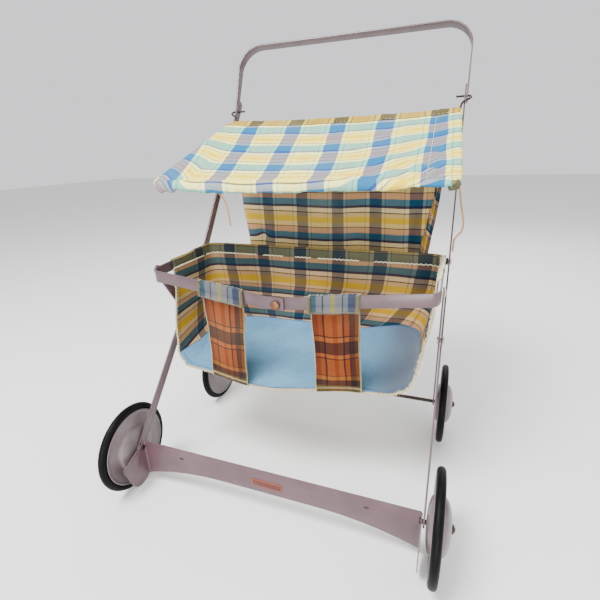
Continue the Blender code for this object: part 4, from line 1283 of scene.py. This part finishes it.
def build_pad(finish, tub, levels):
    """Thin soft pad that lines the whole floor and turns up at the foot of the walls."""
    walls, floor = tub[:len(levels)], tub[len(levels):]
    columns, steps = len(walls[0]), 14
    heights = [-level[0] for level in levels]
    shares, tops = zip(*LINING_TOP)
    rows = []
    for r in range(steps):
        row = []
        for j in range(columns):
            top = np.interp(j / (columns - 1), shares, tops)
            first = np.interp(-top, heights, range(len(levels)))
            place = first + (len(levels) - 1 - first) * r / (steps - 1)
            k = min(int(place), len(levels) - 2)
            row.append(walls[k][j].lerp(walls[k + 1][j], place - k))
        rows.append(row)
    rows += floor
    points = np.array([[tuple(p) for p in row] for row in rows])
    out = np.cross(np.gradient(points, axis=1), np.gradient(points, axis=0))
    out[-1] = out[-2] = out[-3]
    out /= np.linalg.norm(out, axis=2, keepdims=True) + 1e-12
    centre = np.array(at(0.0, 0.06, 0.26))
    out *= np.sign(((centre - points) * out).sum(axis=2, keepdims=True))
    count = len(rows)
    verts, uvs, faces = [], [], []
    for layer in (0, 1):
        for r in range(count):
            for j in range(columns):
                rim = min(1.0, (r + 0.6) / 3.0, (j + 0.6) / 4.0, (columns - j - 0.4) / 4.0)
                spot = points[r, j]
                puff = 0.5 + 0.5 * wander(spot, 0.03, 1.0) + 0.25 * wander(spot, 0.011, 6.0)
                crease = math.sin(spot[0] * 260 + 2.5 * spot[1] / 0.03)
                puff += 0.35 * crease * smoothstep(0.1, 0.135, abs(spot[0]))
                lift = 0.5 + layer * (1.1 + puff * rim) * (0.35 + 0.65 * rim)
                verts.append(Vector(spot) + Vector(out[r, j]) * lift * MM)
                uvs.append((spot[0], spot[1] + 0.5 * spot[2]))
    per = count * columns
    for first, flip in ((0, True), (per, False)):
        for face in grid_faces(count, columns, first):
            faces.append(face[::-1] if flip else face)
    loop = list(range(columns)) + [(r + 1) * columns - 1 for r in range(1, count)]
    loop += [(count - 1) * columns + j for j in range(columns - 2, -1, -1)]
    loop += [r * columns for r in range(count - 2, 0, -1)]
    for a, b in zip(loop, loop[1:] + loop[:1]):
        faces.append((a, b, b + per, a + per))
    pad = add_piece("seat_pad_cloth", verts, faces, finish["pad"], uvs)
    rounding = pad.modifiers.new("round", "SUBSURF")
    rounding.levels = rounding.render_levels = 1
    upper = [[verts[per + r * columns + j] for j in range(columns)] for r in range(count)]
    hem = [row[2] for row in upper[2:]] + [row[-3] for row in reversed(upper[2:-1])]
    piping = add_threads("seat_pad_edge", [smooth_route(hem, 0.002), smooth_route(upper[0], 0.002)],
                         0.45, finish["pad_edge"])
    belongs([pad, piping], "seat")
    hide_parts("seat_pad")


# ---- leg straps
STRAP_CENTRES = {"left": -0.0715, "right": 0.0645}
STRAP_HALF = 0.0273
STRAP_FLAT = 0.0275                 # half of the strap's width in its check
RAIL_HALF = 0.00725                 # half of the front rail's height
RAIL_RISE = 0.0176 / 0.1606         # how the front rail rises outwards
RAIL_SWEEP = 0.0063 / 0.104         # how it runs backwards outwards
PATTERN = 0.0985                    # length of the strap's check from the rail to the floor


def build_strap(side, sign, finish):
    """Leg strap: from the floor's front edge up behind the front rail and folded over it."""
    centre = STRAP_CENTRES[side]
    out_x = abs(centre)
    tilt = RAIL_RISE * sign
    level = 0.2492 + RAIL_RISE * out_x
    rail_y = -0.001 + RAIL_SWEEP * (out_x - 0.016) + 0.0012 * sign
    edge_y, edge_z = floor_edge(centre)
    top_y, top_z = rail_y + 0.0024, level - 0.0068
    body = [(edge_y - 0.0006, edge_z - 0.0014), (edge_y - 0.0022, edge_z + 0.0004),
            (edge_y - 0.0026, edge_z + 0.004)]
    for share in (0.2, 0.4, 0.6, 0.8, 0.95):
        body.append((edge_y - 0.0026 + (top_y - edge_y + 0.0026) * share,
                     edge_z + 0.004 + (top_z - edge_z - 0.004) * share))
    body.append((top_y, top_z))
    points = smooth_route([(0, y, z) for y, z in body], 0.0022)
    done = lengths_along(points)
    grid, uvs = [], []
    for point, run in zip(points, done):
        row, row_uv = [], []
        drop = done[-1] - run
        share = run / done[-1]
        for s in evenly(40):
            narrow = 1 - 0.05 * smoothstep(0.02, 0.05, drop) + 0.03 * smoothstep(0.08, 0.1, drop)
            x = centre + s * STRAP_HALF * narrow + 0.001 * wander((s, drop, sign), 0.03, 2.0)
            x += 0.004 * (1 - share) * (sign > 0)
            here_y, here_z = floor_edge(x)
            bulge = -0.0018 * (1 - s * s) * math.sin(math.pi * share)
            bulge += 0.001 * wander((x, 0, point.z), 0.02, 4.0) * math.sin(math.pi * share)
            gather = 0.0006 * math.sin(x * 900 + 3 * ripple(x, 0.02))
            bulge += gather * (1 - smoothstep(0.0, 0.035, drop))
            curl = 0.0014 * s ** 4 * math.sin(math.pi * share)
            z = point.z + tilt * (x - centre) * share + (here_z - edge_z) * (1 - share)
            row.append(at(x, point.y + bulge + curl + (here_y - edge_y) * (1 - share), z))
            wave = 0.0012 * wander((x, 0, drop), 0.02, 5.0) - 0.001 * math.cos(3.1 * s)
            row_uv.append((STRAP_FLAT * (s + 1), (1 - share) * PATTERN
                           + wave * math.sin(math.pi * share)))
        grid.append(row)
        uvs.append(row_uv)
    strap = add_cloth(f"{side}_leg_strap_cloth", grid, uvs, finish["strap"], 0.7)
    edges = [overlock([row[c] for row in grid], [row[d] for row in grid], 0.0014)
             for c, d in ((0, 1), (40, 39))]
    edges.append(overlock(grid[3], grid[5], 0.0013))

    top, low = level + RAIL_HALF, level - RAIL_HALF
    back, face = rail_y + 0.001, rail_y - 0.001
    loop = [(back + 0.001, low - 0.001), (back + 0.0012, low + 0.004),
            (back + 0.0012, top - 0.002), (back + 0.0008, top + 0.0006),
            (back - 0.001, top + 0.0016),
            (face - 0.0006, top + 0.0008), (face - 0.0015, top - 0.0016),
            (face - 0.0017, level), (face - 0.0019, low), (face - 0.0026, low - 0.002),
            (face - 0.0022, low - 0.0042)]
    points = smooth_route([(0, y, z) for y, z in loop], 0.001)
    done = lengths_along(points)
    wide = STRAP_HALF + (0.0032 if sign < 0 else 0.0008)
    grid, uvs = [], []
    for point, run in zip(points, done):
        row, row_uv = [], []
        for s in evenly(48):
            x = centre + s * wide
            slant = (x - centre) * RAIL_SWEEP * sign
            ruck = 0.0008 * wander((x, point.y, point.z), 0.007, 3.0)
            z = point.z + tilt * (x - centre) + 0.0009 * ripple(x, 0.012, 7.0) * (run > 0.03)
            row.append(at(x, point.y + slant - abs(ruck), z))
            row_uv.append((STRAP_FLAT * (s + 1), run))
        grid.append(row)
        uvs.append(row_uv)
    flap = add_cloth(f"{side}_leg_strap_loop", grid, uvs, finish["loop"], 0.7)
    for column, inward in ((0, 3), (48, 45)):
        edges.append(overlock([row[column] for row in grid], [row[inward] for row in grid], 0.0012))
    edges.append(overlock(grid[-1], grid[-3], 0.0013))
    pieces = [flap, add_threads(f"{side}_strap_overlock", edges, 0.26, finish["cream"])]
    dark = [[p + Vector((0.0005, -0.0004, -0.0004)) for p in run] for run in edges[-3:]]
    pieces.append(add_threads(f"{side}_strap_dark_overlock", dark, 0.24, finish["dark_thread"]))
    ridge = max(range(len(points)), key=lambda k: points[k].z)
    pieces.append(add_threads(f"{side}_strap_fray", build_fray(grid[ridge], 17 + sign), 0.13,
                              finish["white_fray"], 0))
    belongs([strap, *pieces], "seat")
    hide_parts(f"{side}_leg_strap")


def build_fray(line, seed):
    """Short broken threads that stand up from a worn fold."""
    random.seed(seed)
    runs = []
    for point in smooth_route(line, 0.0006):
        way = random_vector((-1.0, 1.0), (-0.8, 0.1), (0.0, 0.7)).normalized()
        reach = random.uniform(0.0004, 0.0018)
        runs.append([point, point + way * reach])
    return runs


def overlock(edge, inner, pitch):
    """Zigzag thread over a cloth edge, between the edge and a line inside it."""
    outer, within = smooth_route(edge, pitch), smooth_route(inner, pitch)
    count = min(len(outer), len(within))
    run = []
    for i in range(count):
        a, b = outer[i], within[i * len(within) // count]
        toward = (b - a).normalized()
        if i % 2:
            run.append(a - toward * 0.0004 + Vector((0, -0.0007, 0)))
        else:
            run.append(a.lerp(b, 0.85) + Vector((0, -0.0009, 0)))
    return run


# ---- ties
TIE_R = 0.0012
TIES = {                            # route of each tape tail, from the loop on the strut
    "left": [(-.1722, .1876, .3470), (-.1690, .1880, .3420), (-.1640, .1880, .3345),
             (-.1620, .1885, .3240), (-.1610, .1895, .3100), (-.1606, .1905, .2975)],
    "right": [(.1792, .1970, .3605), (.1808, .1950, .3530), (.1830, .1890, .3400),
              (.1862, .1800, .3270), (.1885, .1740, .3150), (.1872, .1690, .3060),
              (.1830, .1640, .3010), (.1794, .1570, .2970), (.1788, .1490, .2910),
              (.1787, .1440, .2850)]}


def build_ties(finish):
    """Tape tails hanging from the loops on the struts."""
    for side, _ in SIDES:
        points = smooth_route([at(*p) for p in TIES[side]], 0.0014)
        tail = add_threads(f"{side}_tie_tape", [points], TIE_R / MM, finish["tape"], 3)
        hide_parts(f"{side}_tie_tail")
        belongs([tail], "frame")


# ---- the whole scene
set_camera()
set_stage()
finishes = make_materials()
build_ties(finishes)
dress_frame(finishes)
build_rail_rivet(finishes)
build_wheels(finishes)
build_canopy(finishes)
build_curtain(finishes)
build_pad(finishes, *build_basket(finishes))
for strap_side, strap_sign in SIDES:
    build_strap(strap_side, strap_sign, finishes)

bpy.context.view_layer.update()
